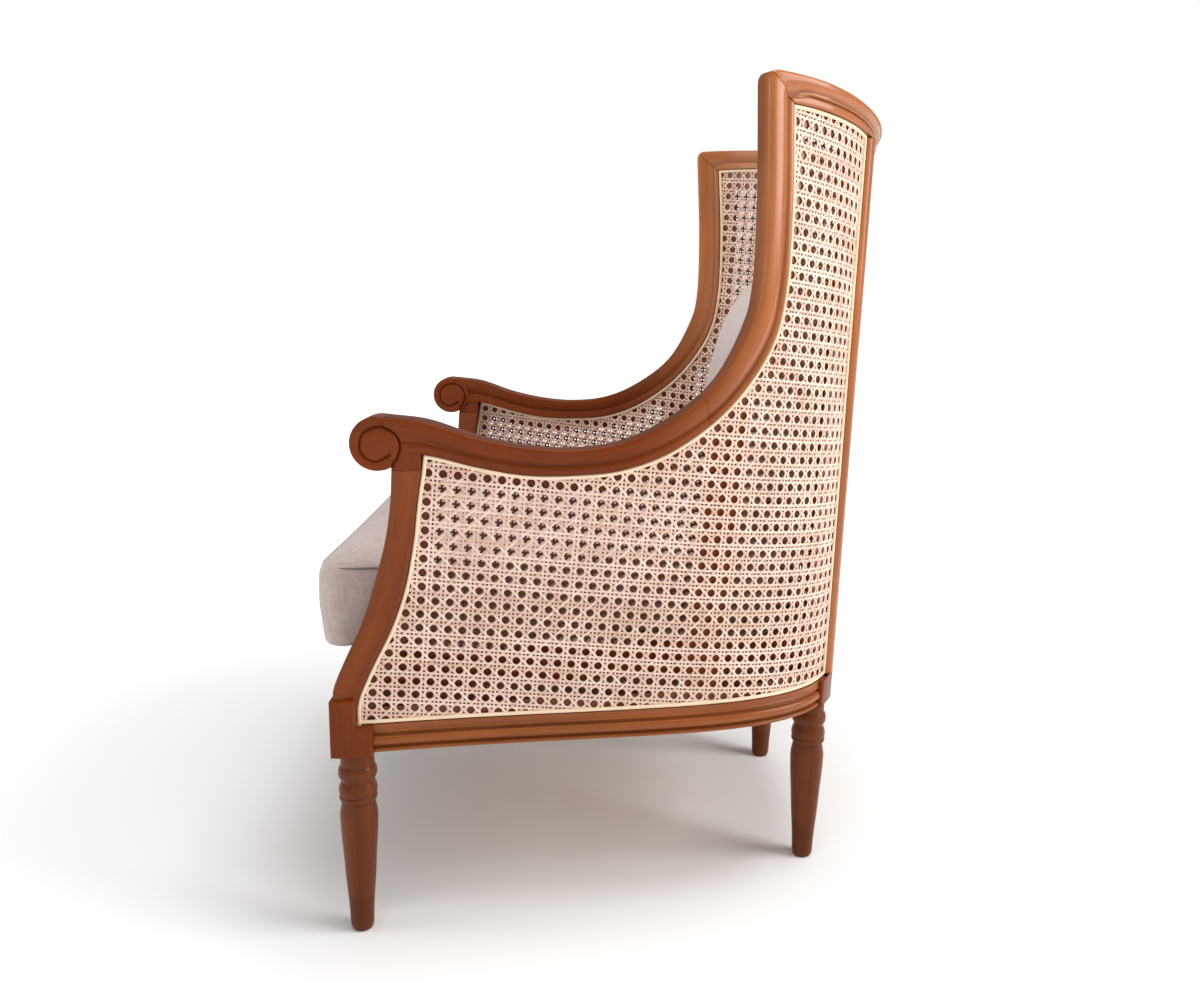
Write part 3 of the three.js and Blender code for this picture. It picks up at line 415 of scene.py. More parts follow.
def moulding(cove, rise, depth, fillet=0.4, hollow=0.2, ledge=LEDGE_SHARE):
    """Section of a member: share 0 is the cane's edge, share 1 the free edge, heights in metres.
    The outer and the inner face carry the same moulding, the inner one a little flatter."""
    gap = CANE_GAP_SHARE
    nose = min(3.5 * MM, rise * 0.6)
    inner = min(rise, 0.2 * depth) * 0.8
    wide = 1 - cove
    return profile(
        (ledge, OUTER_LEDGE),
        [(gap, OUTER_LEDGE)], [(gap, rise * fillet * 0.7)],
        [(gap + 0.03, rise * fillet), (cove * 0.62, rise * fillet),
         (cove * 0.88, rise * fillet * 0.7)],
        [(cove, rise * hollow), (cove + wide * 0.14, rise * max(0.45, hollow)),
         (cove + wide * 0.35, rise * 0.86), (cove + wide * 0.6, rise),
         (cove + wide * 0.82, rise * 0.97), (0.945, rise * 0.86)],
        [(0.985, rise * 0.86 - nose * 0.35), (1, rise * 0.86 - nose)], [(1, nose - depth)],
        [(0.985, nose * 0.3 - depth), (0.945, -depth)],
        [(cove + wide * 0.6, -depth), (cove + wide * 0.3, inner * 0.25 - depth),
         (cove + wide * 0.1, inner * 0.75 - depth), (cove, inner - depth)],
        [(cove * 0.85, inner * 0.6 - depth), (gap + 0.03, inner * 0.5 - depth),
         (gap, inner * 0.8 - depth)],
        [(gap, INNER_LEDGE)], [(ledge, INNER_LEDGE)], [(ledge, OUTER_LEDGE)],
    )


def glaze(section):
    """How much stain stays in the hollows: low places of the profile beside higher ones."""
    height = np.abs(section[:, 1] - (OUTER_LEDGE + INNER_LEDGE) / 2)
    stride = max(1, round(len(section) / 100))
    near = np.mean([np.roll(height, k * stride) for k in (-6, -4, -2, 2, 4, 6)], axis=0)
    return np.clip((near - height) / (1.2 * MM), 0, 1)


def evenly(value):
    """The same value all along a member."""
    return lambda s: value + 0 * s


def member(name, free, cane, section, steps, start=0.0, end=1.0, worn=evenly(0)):
    """A section carried along a member. free and cane give u and height; section(s) the profile.
    steps is a count of even steps, or the places themselves; worn(s) says how pale the wood is, partly
    for wear and partly as painted light on the higher parts."""
    s = np.linspace(start, end, steps) if np.isscalar(steps) else steps
    free_u, free_z = np.moveaxis(free(s), -1, 0)
    cane_u, cane_z = np.moveaxis(cane(s), -1, 0)
    sections = np.array([section(k) for k in s])
    t, w = sections[..., 0], sections[..., 1]
    u = cane_u[:, None] + (free_u - cane_u)[:, None] * t
    z = cane_z[:, None] + (free_z - cane_z)[:, None] * t
    rings = tub(u, z, w)
    return swept(name, rings, run_lengths(rings.mean(1)), run_lengths(rings[len(rings) // 2]),
                 glaze=np.array([glaze(one) for one in sections]), worn=worn(s)[:, None])


# %% [markdown]
# Noise gives each finish its detail. A shader group is built once and set with its own values in
# each material: wood grain that runs along a member, and threads for the cloths.

# %% Shader helpers
SOCKET_KINDS = {"Vector": "NodeSocketVector", "Place": "NodeSocketVector", "Light": "NodeSocketColor",
                "Dark": "NodeSocketColor", "Color": "NodeSocketColor"}
MIX_SOCKETS = 0, 6, 7
SURFACE_SOCKETS = {"Color": "Base Color", "Roughness": "Roughness", "Coat": "Coat Weight"}


def node(tree, kind, **settings):
    """A new node, with each setting given to the socket or else the property of that name."""
    made = tree.nodes.new(kind)
    for key, value in settings.items():
        if key in made.inputs:
            made.inputs[key].default_value = value
        else:
            setattr(made, key, value)
    return made


def group_of(name, inputs, outputs):
    """An empty shader group, its sockets by name, and where its results go."""
    tree = bpy.data.node_groups.new(name, "ShaderNodeTree")
    for way, keys in (("INPUT", inputs), ("OUTPUT", outputs)):
        for key in keys:
            kind = SOCKET_KINDS.get(key, "NodeSocketFloat")
            tree.interface.new_socket(key, in_out=way, socket_type=kind)
    return tree, node(tree, "NodeGroupInput").outputs, node(tree, "NodeGroupOutput")


def send(tree, target, **sources):
    """Links each source to the target's socket of its name, in which _ is a blank."""
    for key, source in sources.items():
        tree.links.new(source, target.inputs[key.replace("_", " ")])


def feed(tree, sockets, values):
    """Each value goes to its socket: a source by a link, a number or a colour as it is."""
    for socket, value in zip(sockets, values):
        if isinstance(value, bpy.types.NodeSocket):
            tree.links.new(value, socket)
        else:
            socket.default_value = value


def maths(tree, operation, *values, clamp=False):
    """One step of arithmetic on sources and numbers."""
    made = node(tree, "ShaderNodeMath", operation=operation, use_clamp=clamp)
    feed(tree, made.inputs, values)
    return made.outputs[0]


def noise_at(tree, vector, scale, detail=2.0, roughness=0.5, stretch=(1, 1, 1)):
    """Noise of a vector that is first shortened along some axes, so that its spots grow long there."""
    mapping = node(tree, "ShaderNodeMapping", Scale=stretch)
    tree.links.new(vector, mapping.inputs["Vector"])
    texture = node(tree, "ShaderNodeTexNoise", Scale=scale, Detail=detail, Roughness=roughness)
    tree.links.new(mapping.outputs[0], texture.inputs["Vector"])
    return texture.outputs["Fac"]


def mix_colour(tree, amount, a, b):
    """Colour a where the amount is 0 and b where it is 1."""
    made = node(tree, "ShaderNodeMix", data_type="RGBA")
    feed(tree, [made.inputs[k] for k in MIX_SOCKETS], (amount, a, b))
    return made.outputs[2]


def weighted(tree, *pairs, start=0.0, clamp=False):
    """Sources times their weights, added up."""
    for k, (source, weight) in enumerate(pairs):
        last = k == len(pairs) - 1
        start = maths(tree, "MULTIPLY_ADD", source, weight, start, clamp=clamp and last)
    return start


def from_place(tree):
    """The place in the chair's frame."""
    return node(tree, "ShaderNodeTexCoord").outputs["Object"]


def from_map(tree):
    """The place along and around the piece, from its map."""
    return node(tree, "ShaderNodeUVMap", uv_map="along").outputs[0]


def attribute(name):
    """A tone kept in the mesh."""
    return lambda tree: node(tree, "ShaderNodeAttribute", attribute_name=name).outputs["Fac"]


def surface(name, group, light, dark, feeds, relief, **plain):
    """A material: the group's two colours and what feeds its sockets, the strength and depth of its
    relief, and plain values of the shader or of the group."""
    material = bpy.data.materials.new(name)
    material.use_nodes = True
    tree = material.node_tree
    shader = tree.nodes["Principled BSDF"]
    look = node(tree, "ShaderNodeGroup", node_tree=group)
    for key, value in {"Light": (*light, 1), "Dark": (*dark, 1), **plain}.items():
        key = key.replace("_", " ")
        (look if key in look.inputs else shader).inputs[key].default_value = value
    for key, source in feeds.items():
        tree.links.new(source(tree), look.inputs[key])
    for key, socket in SURFACE_SOCKETS.items():
        if key in look.outputs:
            tree.links.new(look.outputs[key], shader.inputs[socket])
    bump = node(tree, "ShaderNodeBump", Strength=relief[0], Distance=relief[1])
    send(tree, bump, Height=look.outputs["Height"])
    send(tree, shader, Normal=bump.outputs[0])
    return material

# %% [markdown]
# Stained hardwood under a satin lacquer: long fine streaks along the grain, slow cloudy changes
# of tone, small dark pores, and more stain left in the hollows of the mouldings. Pieces marked worn
# and lit turn paler with a thicker coat: partly wear, partly painted light on the upper frame.

# %% Wood grain group
# Paler colours and more coat for worn and lit wood: partly wear, partly painted light on the upper
# frame.
WORN_LIT_DARK, WORN_LIT_LIGHT, WORN_LIT_COAT = (0.25, 0.072, 0.017, 1), (0.48, 0.158, 0.043, 1), 0.45
STAIN, PORE_LEVEL = (0.045, 0.011, 0.004, 1), 0.66


def build_grain():
    """Streaks, fine streaks and clouds are added up and mix dark to light, and towards paler wood where
    worn and lit: wear together with painted light. Pores and glaze darken the mix."""
    tree, given, out = group_of("wood_grain", ("Vector", "Light", "Dark", "Glaze", "Worn", "Coat"),
                                ("Color", "Roughness", "Height", "Coat"))
    streak, fine, cloud, pore = (noise_at(tree, given["Vector"], *values) for values in (
        (60, 4, 0.6, (0.05, 1, 1)), (420, 3, 0.6, (0.04, 1, 1)), (9, 2, 0.5, (0.5, 1, 1)),
        (900, 1, 0.4, (0.06, 1, 1))))
    blend = weighted(tree, (streak, 0.5), (fine, 0.22), (cloud, 0.55))
    ramp = node(tree, "ShaderNodeMapRange", **{"From Min": 0.42, "From Max": 0.86})
    send(tree, ramp, Value=blend)
    base = mix_colour(tree, ramp.outputs[0], given["Dark"], given["Light"])
    pale = mix_colour(tree, ramp.outputs[0], WORN_LIT_DARK, WORN_LIT_LIGHT)
    base = mix_colour(tree, given["Worn"], base, pale)
    pores = maths(tree, "GREATER_THAN", pore, PORE_LEVEL)
    shade = weighted(tree, (pores, 0.14), (given["Glaze"], 0.5), clamp=True)
    send(tree, out, Color=mix_colour(tree, shade, base, STAIN),
         Coat=maths(tree, "MULTIPLY_ADD", given["Worn"], WORN_LIT_COAT, given["Coat"]),
         Roughness=weighted(tree, (cloud, 0.14), (shade, 0.12), start=0.24),
         Height=weighted(tree, (fine, 0.5), (pores, -0.5)))
    return tree


grain_group = build_grain()


def wood(name, light, dark, along=True, coat=0.25):
    """Stained wood. along takes the grain from the piece's own map, else from its place."""
    feeds = {"Vector": from_place}
    if along:
        feeds = {"Vector": from_map, "Glaze": attribute("glaze"), "Worn": attribute("worn")}
    return surface(name, grain_group, light, dark, feeds, (0.06, 0.4 * MM), Coat=coat,
                   Specular_IOR_Level=0.1, Coat_Roughness=0.2)


frame_wood = wood("stained_wood", (0.215, 0.040, 0.004), (0.11, 0.019, 0.002), coat=0.06)
leg_wood = wood("leg_wood", (0.185, 0.050, 0.016), (0.09, 0.022, 0.006), coat=0.04)
raw_wood = wood("raw_wood", (0.50, 0.30, 0.15), (0.33, 0.18, 0.085), along=False, coat=0.0)

# %% [markdown]
# Cloths are threads crossing each other. Three noises, each fast along one axis only, give
# threads on every face of a cushion without any map: on top two of them show, on a side too.

# %% Cloth group


def build_threads():
    """Three thread noises are added up, one for each axis, and with slow clouds mix dark to light."""
    tree, given, out = group_of("cloth_threads", ("Vector", "Light", "Dark", "Count"),
                                ("Color", "Height"))
    threads = 0.0
    for stretch in ((1, 0.05, 0.05), (0.05, 1, 0.05), (0.05, 0.05, 1)):
        noise = noise_at(tree, given["Vector"], 1, 2, 0.6, stretch)
        tree.links.new(given["Count"], noise.node.inputs["Scale"])
        threads = maths(tree, "ADD", noise, threads)
    level = node(tree, "ShaderNodeMapRange", **{"From Min": 1.15, "From Max": 1.85})
    send(tree, level, Value=threads)
    cloud = noise_at(tree, given["Vector"], 14, 3)
    blend = weighted(tree, (level.outputs[0], 0.75), (cloud, 0.25), clamp=True)
    send(tree, out, Color=mix_colour(tree, blend, given["Dark"], given["Light"]),
         Height=level.outputs[0])
    return tree


thread_group = build_threads()


def cloth(name, light, dark, count=900):
    """Woven cloth, matt with a little sheen on its nap."""
    return surface(name, thread_group, light, dark, {"Vector": from_place}, (0.35, 0.6 * MM),
                   Count=count, Roughness=0.88, Sheen_Weight=0.25, Sheen_Roughness=0.5)


linen = cloth("grey_linen", (0.60, 0.485, 0.452), (0.38, 0.300, 0.273))
platform_cloth = cloth("platform_cloth", (0.46, 0.40, 0.35), (0.32, 0.27, 0.23), count=1200)
piping_cloth = cloth("piping_cloth", (0.24, 0.195, 0.18), (0.13, 0.105, 0.097), count=1400)

# %% [markdown]
# Cane is the glossy bark of rattan, split into narrow strands. Each strand has its own tone, and
# fine streaks run along it. Its reverse is dull, and is painted dark brown as painted shade: it faces
# the unlit gap between the layers and shows wherever one layer of cane is seen through the holes of
# the other. The bead is a round reed of the same plant, a little yellower.

# %% Bark group
# Dark pith colours of the reverse: painted shade of the gap between the two layers.
SHADED_PITH_DARK, SHADED_PITH_LIGHT = (0.10, 0.035, 0.016, 1), (0.32, 0.135, 0.066, 1)


def build_bark():
    """Streaks along the strand, slow clouds and its own tone are added up, and mix dark to light."""
    tree, given, out = group_of("cane_bark", ("Vector", "Place", "Light", "Dark", "Tone", "Reverse"),
                                ("Color", "Roughness", "Height"))
    streak = noise_at(tree, given["Vector"], 900, 2, 0.5, (0.05, 1, 1))
    cloud = noise_at(tree, given["Place"], 16, 3)
    level = node(tree, "ShaderNodeMapRange", **{"From Min": 0.3, "From Max": 0.95})
    send(tree, level, Value=weighted(tree, (streak, 0.35), (cloud, 0.4), (given["Tone"], 0.45)))
    bark = mix_colour(tree, level.outputs[0], given["Dark"], given["Light"])
    # The reverse takes the dark pith colours, painted shade of the gap between the layers.
    shaded_pith = mix_colour(tree, streak, SHADED_PITH_DARK, SHADED_PITH_LIGHT)
    send(tree, out, Color=mix_colour(tree, given["Reverse"], bark, shaded_pith), Height=streak,
         Roughness=maths(tree, "MULTIPLY_ADD", given["Reverse"], 0.4, 0.4))
    return tree


bark_group = build_bark()


def cane_like(name, light, dark):
    """Bark in one pair of colours; the map runs along the strand, attributes give tone and reverse."""
    feeds = {"Vector": from_map, "Place": from_place, "Tone": attribute("tone"),
             "Reverse": attribute("reverse")}
    return surface(name, bark_group, light, dark, feeds, (0.15, 0.2 * MM))


cane = cane_like("woven_cane", (0.90, 0.70, 0.575), (0.60, 0.36, 0.26))
reed = cane_like("reed_bead", (0.93, 0.76, 0.55), (0.70, 0.50, 0.33))

# %% [markdown]
# A plain pale floor and large soft lights, as in a product studio: the strongest one high behind
# the chair. The floor glows a little away from the chair, as a lit paper sweep does, so that it
# runs into the white behind it without an edge.

# %% Floor and light
FLOOR_REACH, GLOW_START, GLOW_END = 30, 0.35, 2.6


def make_floor():
    """A plain square whose glow rises with the distance from the chair."""
    points = np.array([(-1, -1, 0), (1, -1, 0), (1, 1, 0), (-1, 1, 0)], float) * FLOOR_REACH
    mesh = bpy.data.meshes.new("floor")
    mesh.from_pydata(points.tolist(), [], [(0, 1, 2, 3)])
    floor = new_object("floor", mesh)
    material = bpy.data.materials.new("floor_paint")
    material.use_nodes = True
    tree = material.node_tree
    shader = tree.nodes["Principled BSDF"]
    spots = noise_at(tree, from_place(tree), 3, 3)
    apart = node(tree, "ShaderNodeVectorMath", operation="LENGTH")
    tree.links.new(from_place(tree), apart.inputs[0])
    glow = node(tree, "ShaderNodeMapRange", interpolation_type="SMOOTHSTEP",
                **{"From Min": GLOW_START, "From Max": GLOW_END})
    send(tree, glow, Value=apart.outputs["Value"])
    send(tree, shader, Base_Color=mix_colour(tree, spots, (0.91, 0.91, 0.91, 1), (0.93, 0.93, 0.93, 1)),
         Emission_Color=mix_colour(tree, glow.outputs[0], (0, 0, 0, 1), (1, 1, 1, 1)))
    shader.inputs["Roughness"].default_value = 0.7
    shader.inputs["Emission Strength"].default_value = 1.0
    mesh.materials.append(material)


def area_light(name, place, aim, size, power, colour=(1, 1, 1)):
    """A soft rectangular light at a place, turned towards its aim."""
    light = bpy.data.lights.new(name, "AREA")
    light.shape = "RECTANGLE"
    light.size, light.size_y = size
    light.energy = power
    light.color = colour
    lamp = new_object(name, light)
    lamp.location = place
    heading = Matrix.Translation(aim).translation - lamp.location
    lamp.rotation_euler = heading.to_track_quat("-Z", "Y").to_euler()


def make_world(light_strength, seen_strength):
    """A pale surround: what lights the chair is dimmer than the white that the camera sees."""
    scene.world = bpy.data.worlds.new("studio")
    scene.world.use_nodes = True
    tree = scene.world.node_tree
    surround = tree.nodes["Background"]
    surround.inputs["Color"].default_value = (1, 1, 1, 1)
    surround.inputs["Strength"].default_value = light_strength
    white = node(tree, "ShaderNodeBackground", Strength=seen_strength)
    white.inputs["Color"].default_value = (1, 1, 1, 1)
    choice = node(tree, "ShaderNodeMixShader")
    rays = node(tree, "ShaderNodeLightPath")
    tree.links.new(rays.outputs["Is Camera Ray"], choice.inputs[0])
    tree.links.new(surround.outputs[0], choice.inputs[1])
    tree.links.new(white.outputs[0], choice.inputs[2])
    tree.links.new(choice.outputs[0], tree.nodes["World Output"].inputs["Surface"])


make_floor()
area_light("overhead", (0.3, 0.4, 3.2), (0, 0.1, 0.5), (1.6, 1.6), 62)
area_light("rear_key", (0.7, 2.3, 1.6), (0, 0.1, 0.65), (1.3, 1.6), 50, (1.0, 0.985, 0.97))
area_light("side_fill", (3.2, -1.3, 1.7), (0, 0, 0.5), (2.6, 2.2), 16)
area_light("front_fill", (0.5, -2.4, 1.5), (0, 0, 0.6), (0.8, 1.2), 12)
make_world(0.3, 1.0)
scene.view_settings.view_transform = "Standard"

# %% [markdown]
# Every piece gets its finish, the body that it moves with and the solids that it stands for. A piece
# that has a twin is made on the left and mirrored to the right.

# %% A finished piece


def finish_piece(name, mesh, material, nodes, body="frame"):
    """A piece with its finish, standing for its solids and moving with their body."""
    piece = new_object(name, mesh)
    mesh.materials.clear()
    mesh.materials.append(material)
    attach(piece, body)
    if nodes:
        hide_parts(*nodes)
    return piece


def finish_pair(name, mesh, material, node_name):
    """The piece on the left and its mirror image on the right."""
    for side in ("left", "right"):
        one = mesh if side == "left" else mirrored(mesh, f"{name}_right")
        finish_piece(f"{name}_{side}", one, material, [f"{node_name}_{side}"])
    print(name, "faces:", len(mesh.polygons))


# %% [markdown]
# The legs are turned on a lathe, so each is one outline swept round an axis. The outline has a
# foot, a long baluster, a neck, two beads with a groove between them and a fine ring.

# %% Turned legs
LEG_RADIUS, STAIN_DEPTH = 22.5 * MM, 0.8 * MM
TURNING = [
    (0, 0),
    [(10.2, 0)],
    [(12.0, 1.6), (13.3, 5), (13.9, 12), (15, 35), (17.5, 67), (19.5, 100), (21.2, 124), (22, 143),
     (21.8, 151), (20.6, 157.8), (19.3, 165.4)],
    [(19.3, 166.6), (20.4, 167.6)], [(21.6, 168.8), (22.1, 171), (21.8, 173.2), (21.0, 174.4)],
    [(21.7, 176), (22.2, 178.5), (22.25, 181), (21.7, 184.4), (20.6, 187.5), (19.2, 190.5)],
    [(19.0, 192), (19.2, 193.6)],
    [(21.2, 195.6), (22.3, 199), (22.5, 202.5), (22, 206), (20.9, 208.8), (19.6, 211)],
    [(19.5, 213.5), (19.5, 226.2)], [(0, 226.2)],
]


def leg_mesh(name, node_name, sides=64):
    """Radius and height of the outline turned round the axis of the solid. Stain stays where the
    radius is less than beside it."""
    low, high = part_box(node_name)
    x, y = (low.x + high.x) / 2, (low.y + high.y) / 2
    radius, height = (profile(*TURNING) * MM)[1:].T
    angle = np.arange(sides) / sides * TAU
    rings = np.stack(np.broadcast_arrays(x + radius[:, None] * np.cos(angle),
                                         y + radius[:, None] * np.sin(angle), height[:, None]), -1)
    near = np.mean([np.roll(radius, k) for k in (-4, -2, 2, 4)], axis=0)
    dark = np.clip((near - radius) / STAIN_DEPTH, 0, 1)[:, None]
    return swept(name, rings, height, angle * LEG_RADIUS, crease=50, glaze=dark)


for place in ("front", "back"):
    leg = leg_mesh(f"{place}_turned_leg", f"{place}_leg_left")
    finish_pair(f"{place}_turned_leg", leg, leg_wood, f"{place}_leg")

# %% [markdown]
# The arm rises at the front into a scroll and runs back in a long hollow to the elbow. Its cove
# starts wide at the scroll and narrows towards the wing, so the profile changes along the way.

# %% Arms, wings and posts
POST_FACE, ARM_FACE, TOP_FACE = 5 * MM, 8 * MM, 12 * MM
ARM_DEPTH = 40 * MM
ARM_DEPTH_SHARES = [1, 0.8, 0.6, 0.48, 0.43]
JOINT = 0.3 / 991
ARM_COVE, WING_COVE, TOP_COVE = 0.4, 0.24, 0.4
CORNER_ROUND = 11 * MM
SCROLL_FADE = 0.17
CARVED_END = 0.075
ROOT_DROP = 0.8 * MM


def arm_depth(s):
    """How thick the arm is: it thins from the scroll to the elbow."""
    return ARM_DEPTH * np.interp(min(s / ELBOW, 1), np.linspace(0, 1, 5), ARM_DEPTH_SHARES)


def wing_worn(s):
    """The arm is deeply stained and the wing is paler, partly worn and partly painted light on the
    higher wing; the change is drawn out over the elbow.
    """
    return smooth(s, 0.45, 0.85)


def arm_section(s):
    """The cove narrows towards the wing, and fades out where the arm nears its scroll."""
    rise = POST_FACE + (ARM_FACE - POST_FACE) * min(s / ELBOW, 1)
    rise -= ROOT_DROP * (1 - smooth(s, 0, SCROLL_FADE))
    cove = ARM_COVE + (WING_COVE - ARM_COVE) * smooth(s, 0.35, 0.8)
    fade = 1 - smooth(s, 0.05, SCROLL_FADE)
    ledge = LEDGE_SHARE * smooth(s, 0.01, 0.06)
    return moulding(cove, rise, arm_depth(s), 0.4 + 0.42 * fade, 0.2 + 0.62 * fade, ledge)


def rounded_corner(edge, toward_start):
    """Rounds the outer top corner: beyond the round's start the line follows a quarter circle as far
    as the mitre, which is its middle."""
    def placed(s):
        place = edge(s)
        gap = np.abs(place[..., 1] - corner[1]) if toward_start else place[..., 0] - corner[0]
        turn = np.clip((CORNER_ROUND - gap) / CORNER_ROUND, 0, 1) * math.pi / 4
        inset = CORNER_ROUND * (1 - np.cos(turn))
        slide = CORNER_ROUND * (1 - np.sin(turn))
        near = turn > 0
        u, z = place[..., 0], place[..., 1]
        if toward_start:
            return np.stack([u + inset, np.where(near, corner[1] - slide, z)], -1)
        return np.stack([np.where(near, corner[0] + slide, u), z - inset], -1)
    return placed


def denser(section, parts=3):
    """Each side of a section cut into equal parts, for carving."""
    steps = np.arange(len(section) * parts) / parts
    return points_at(steps, np.arange(len(section) + 1), np.vstack([section, section[:1]]))


arm_steps = np.concatenate([np.linspace(0, CARVED_END, 70)[:-1], np.linspace(CARVED_END, ELBOW, 90)])
arm_bar = member("arm_bar", on_tub(arm_free), on_tub(arm_cane), lambda s: denser(arm_section(s)),
                 arm_steps, worn=wing_worn)
wing_bar = member("wing_stile", on_tub(rounded_corner(arm_free, True)), on_tub(arm_cane), arm_section,
                  100, ELBOW + 2 * JOINT, 1 - 2 * JOINT, wing_worn)
finish_pair("moulded_wing", wing_bar, frame_wood, "wing_stile")

# %% [markdown]
# The scroll is a drum whose faces are carved: a groove winds in a spiral round a flat boss. Each
# face is a polar grid, and its height falls where a point lies close to the spiral. The arm and
# the neck run into the drum, and the same groove is cut through their faces.

# %% Scrolls
SCROLL_DEPTH, SCROLL_HEIGHT = 0.081, 0.475
SCROLL_RADIUS = 29.7 * MM
SCROLL_OUT = 3.9 * MM
SCROLL_WIDTH = 44 * MM
SPIRAL = [(-199, 578), (-214.5, 570.5), (-227, 577), (-231, 588.7), (-226, 602), (-210, 608.4),
          (-195, 602), (-188.3, 589), (-190.5, 577.5), (-197, 566)]
GROOVE_DEPTH, GROOVE_WIDTH = 1.9 * MM, 1.25 * MM
SHOULDER_DEPTH, SHOULDER_WIDTH = 0.9 * MM, 4.4 * MM
RIM, BOSS_RISE, BOSS_SINK, MERGE_DROP = 2.5 * MM, 0.5 * MM, 2 * MM, 1.3 * MM
MERGE_MIDDLE, MERGE_HALF = math.radians(7), math.radians(62)
scroll_y, scroll_z = depth_at(SCROLL_DEPTH), height_at(SCROLL_HEIGHT)
scroll_u = u_at_depth(scroll_y, scroll_z)
scroll_outer = float(tub(scroll_u, scroll_z, SCROLL_OUT)[0])
centre_x = float(tub(scroll_u, scroll_z)[0])
spiral = batten(np.array(SPIRAL) * MM, np.linspace(0, 1, 300)) - (scroll_y, scroll_z)
spiral_turn = np.unwrap(np.arctan2(spiral[:, 1], spiral[:, 0]))
spiral_reach = np.hypot(spiral[:, 0], spiral[:, 1])


def spiral_edge(angle):
    """Distance of the spiral from the middle at an angle. Where its two ends lie side by side the one
    passes softly into the other."""
    angle = angle - TAU * (angle > 0)
    near, far = (np.interp(angle - k * TAU, spiral_turn[::-1], spiral_reach[::-1]) for k in (0, 1))
    opening = smooth(angle, spiral_turn[-1] + TAU, spiral_turn[0])
    return near + (far - near) * opening


def carving(y, z):
    """What the knife takes off a face at a place: the groove with soft shoulders, by bell curves of
    the distance from the spiral. Also how much the place lies inside the spiral."""
    y, z = y - scroll_y, z - scroll_z
    gap = np.min(np.hypot(y[..., None] - spiral[:, 0], z[..., None] - spiral[:, 1]), -1)
    cut = np.exp(-(gap / GROOVE_WIDTH) ** 2)
    taken = GROOVE_DEPTH * cut + SHOULDER_DEPTH * np.exp(-(gap / SHOULDER_WIDTH) ** 2)
    within = smooth(spiral_edge(np.arctan2(z, y)) - np.hypot(y, z), -0.4 * MM, 0.8 * MM)
    return taken, cut, within


def carved_drum(name):
    """Drum with two carved faces: rings from the middle out, over a rounded rim and back in. Its face
    falls back with the tub, and behind the spiral it sinks under the faces of arm and neck."""
    sides = 260
    radii = np.linspace(0.4 * MM, SCROLL_RADIUS - RIM, 60)
    turn = np.linspace(0, math.pi / 2, 7)[1:]
    radius = np.concatenate([radii, SCROLL_RADIUS - RIM + RIM * np.sin(turn)])[:, None]
    angle = np.arange(sides) / sides * TAU - math.pi
    y, z = scroll_y + radius * np.cos(angle), scroll_z + radius * np.sin(angle)
    taken, cut, within = carving(y, z)
    merged = smooth(np.cos(angle - MERGE_MIDDLE), math.cos(MERGE_HALF * 1.1), math.cos(MERGE_HALF))
    rim = np.concatenate([np.zeros_like(radii), RIM * (1 - np.cos(turn))])[:, None] * (1 - merged)
    fall = tub(u_at_depth(y, z), z)[..., 0] - centre_x
    fall = (fall - np.hypot(fall, 0.6 * MM)) / 2 + 0.3 * MM
    low = rim + taken - BOSS_RISE * within + MERGE_DROP * merged * (1 - within)
    outer = np.stack([scroll_outer - low + fall, y + SHIFT, z], -1)
    inner = np.stack([scroll_outer - SCROLL_WIDTH + low + fall, y + SHIFT, z], -1)[::-1]
    rings = np.concatenate([outer, inner])
    dark = np.concatenate([cut, cut[::-1]]).ravel()
    maps = np.stack([rings[..., 1], rings[..., 2] + rings[..., 0]], -1).reshape(-1, 2)
    return tube_mesh(name, rings, maps=maps, tones={"glaze": dark}, crease=60)


def carve(mesh):
    """Cuts the spiral into the faces of the arm or the neck, and sinks them below the boss."""
    points = coordinates(mesh)
    reach = np.hypot(points[:, 1] - SHIFT - scroll_y, points[:, 2] - scroll_z)
    close = np.flatnonzero(reach < 1.2 * SCROLL_RADIUS)
    taken, cut, within = carving(points[close, 1] - SHIFT, points[close, 2])
    face = smooth(points[close, 0], centre_x - 5 * MM, centre_x - 2 * MM)
    back = 1 - smooth(points[close, 0], centre_x - 38 * MM, centre_x - 35 * MM)
    points[close, 0] -= (taken + BOSS_SINK * within) * (face - back)
    mesh.vertices.foreach_set("co", points.ravel())
    glazed = np.empty(len(points), np.float32)
    mesh.attributes["glaze"].data.foreach_get("value", glazed)
    glazed[close] = np.maximum(glazed[close], cut * np.maximum(face, back))
    mesh.attributes["glaze"].data.foreach_set("value", glazed)
    mesh.update()
    return mesh


# %% [markdown]
# The front post grows out of a square block over the leg and bends back in an S to carry the arm.
# The arm ends in a neck that carries the post's own profile on, up to the middle of the scroll.

# %% Front posts
POST_DEPTH_LOW, POST_DEPTH_HIGH = 31 * MM, 39 * MM
NECK_SHARE, NECK_GAP = 0.84, 0.05 * MM
# How pale the posts are: wear with a little painted light.
POST_WORN_AND_LIT = 0.15
BLOCK = 47 * MM
BLOCK_OUTER = LOW[0] + 11.4 * MM
BLOCK_FRONT = FRONT_LINE - 10.9 * MM


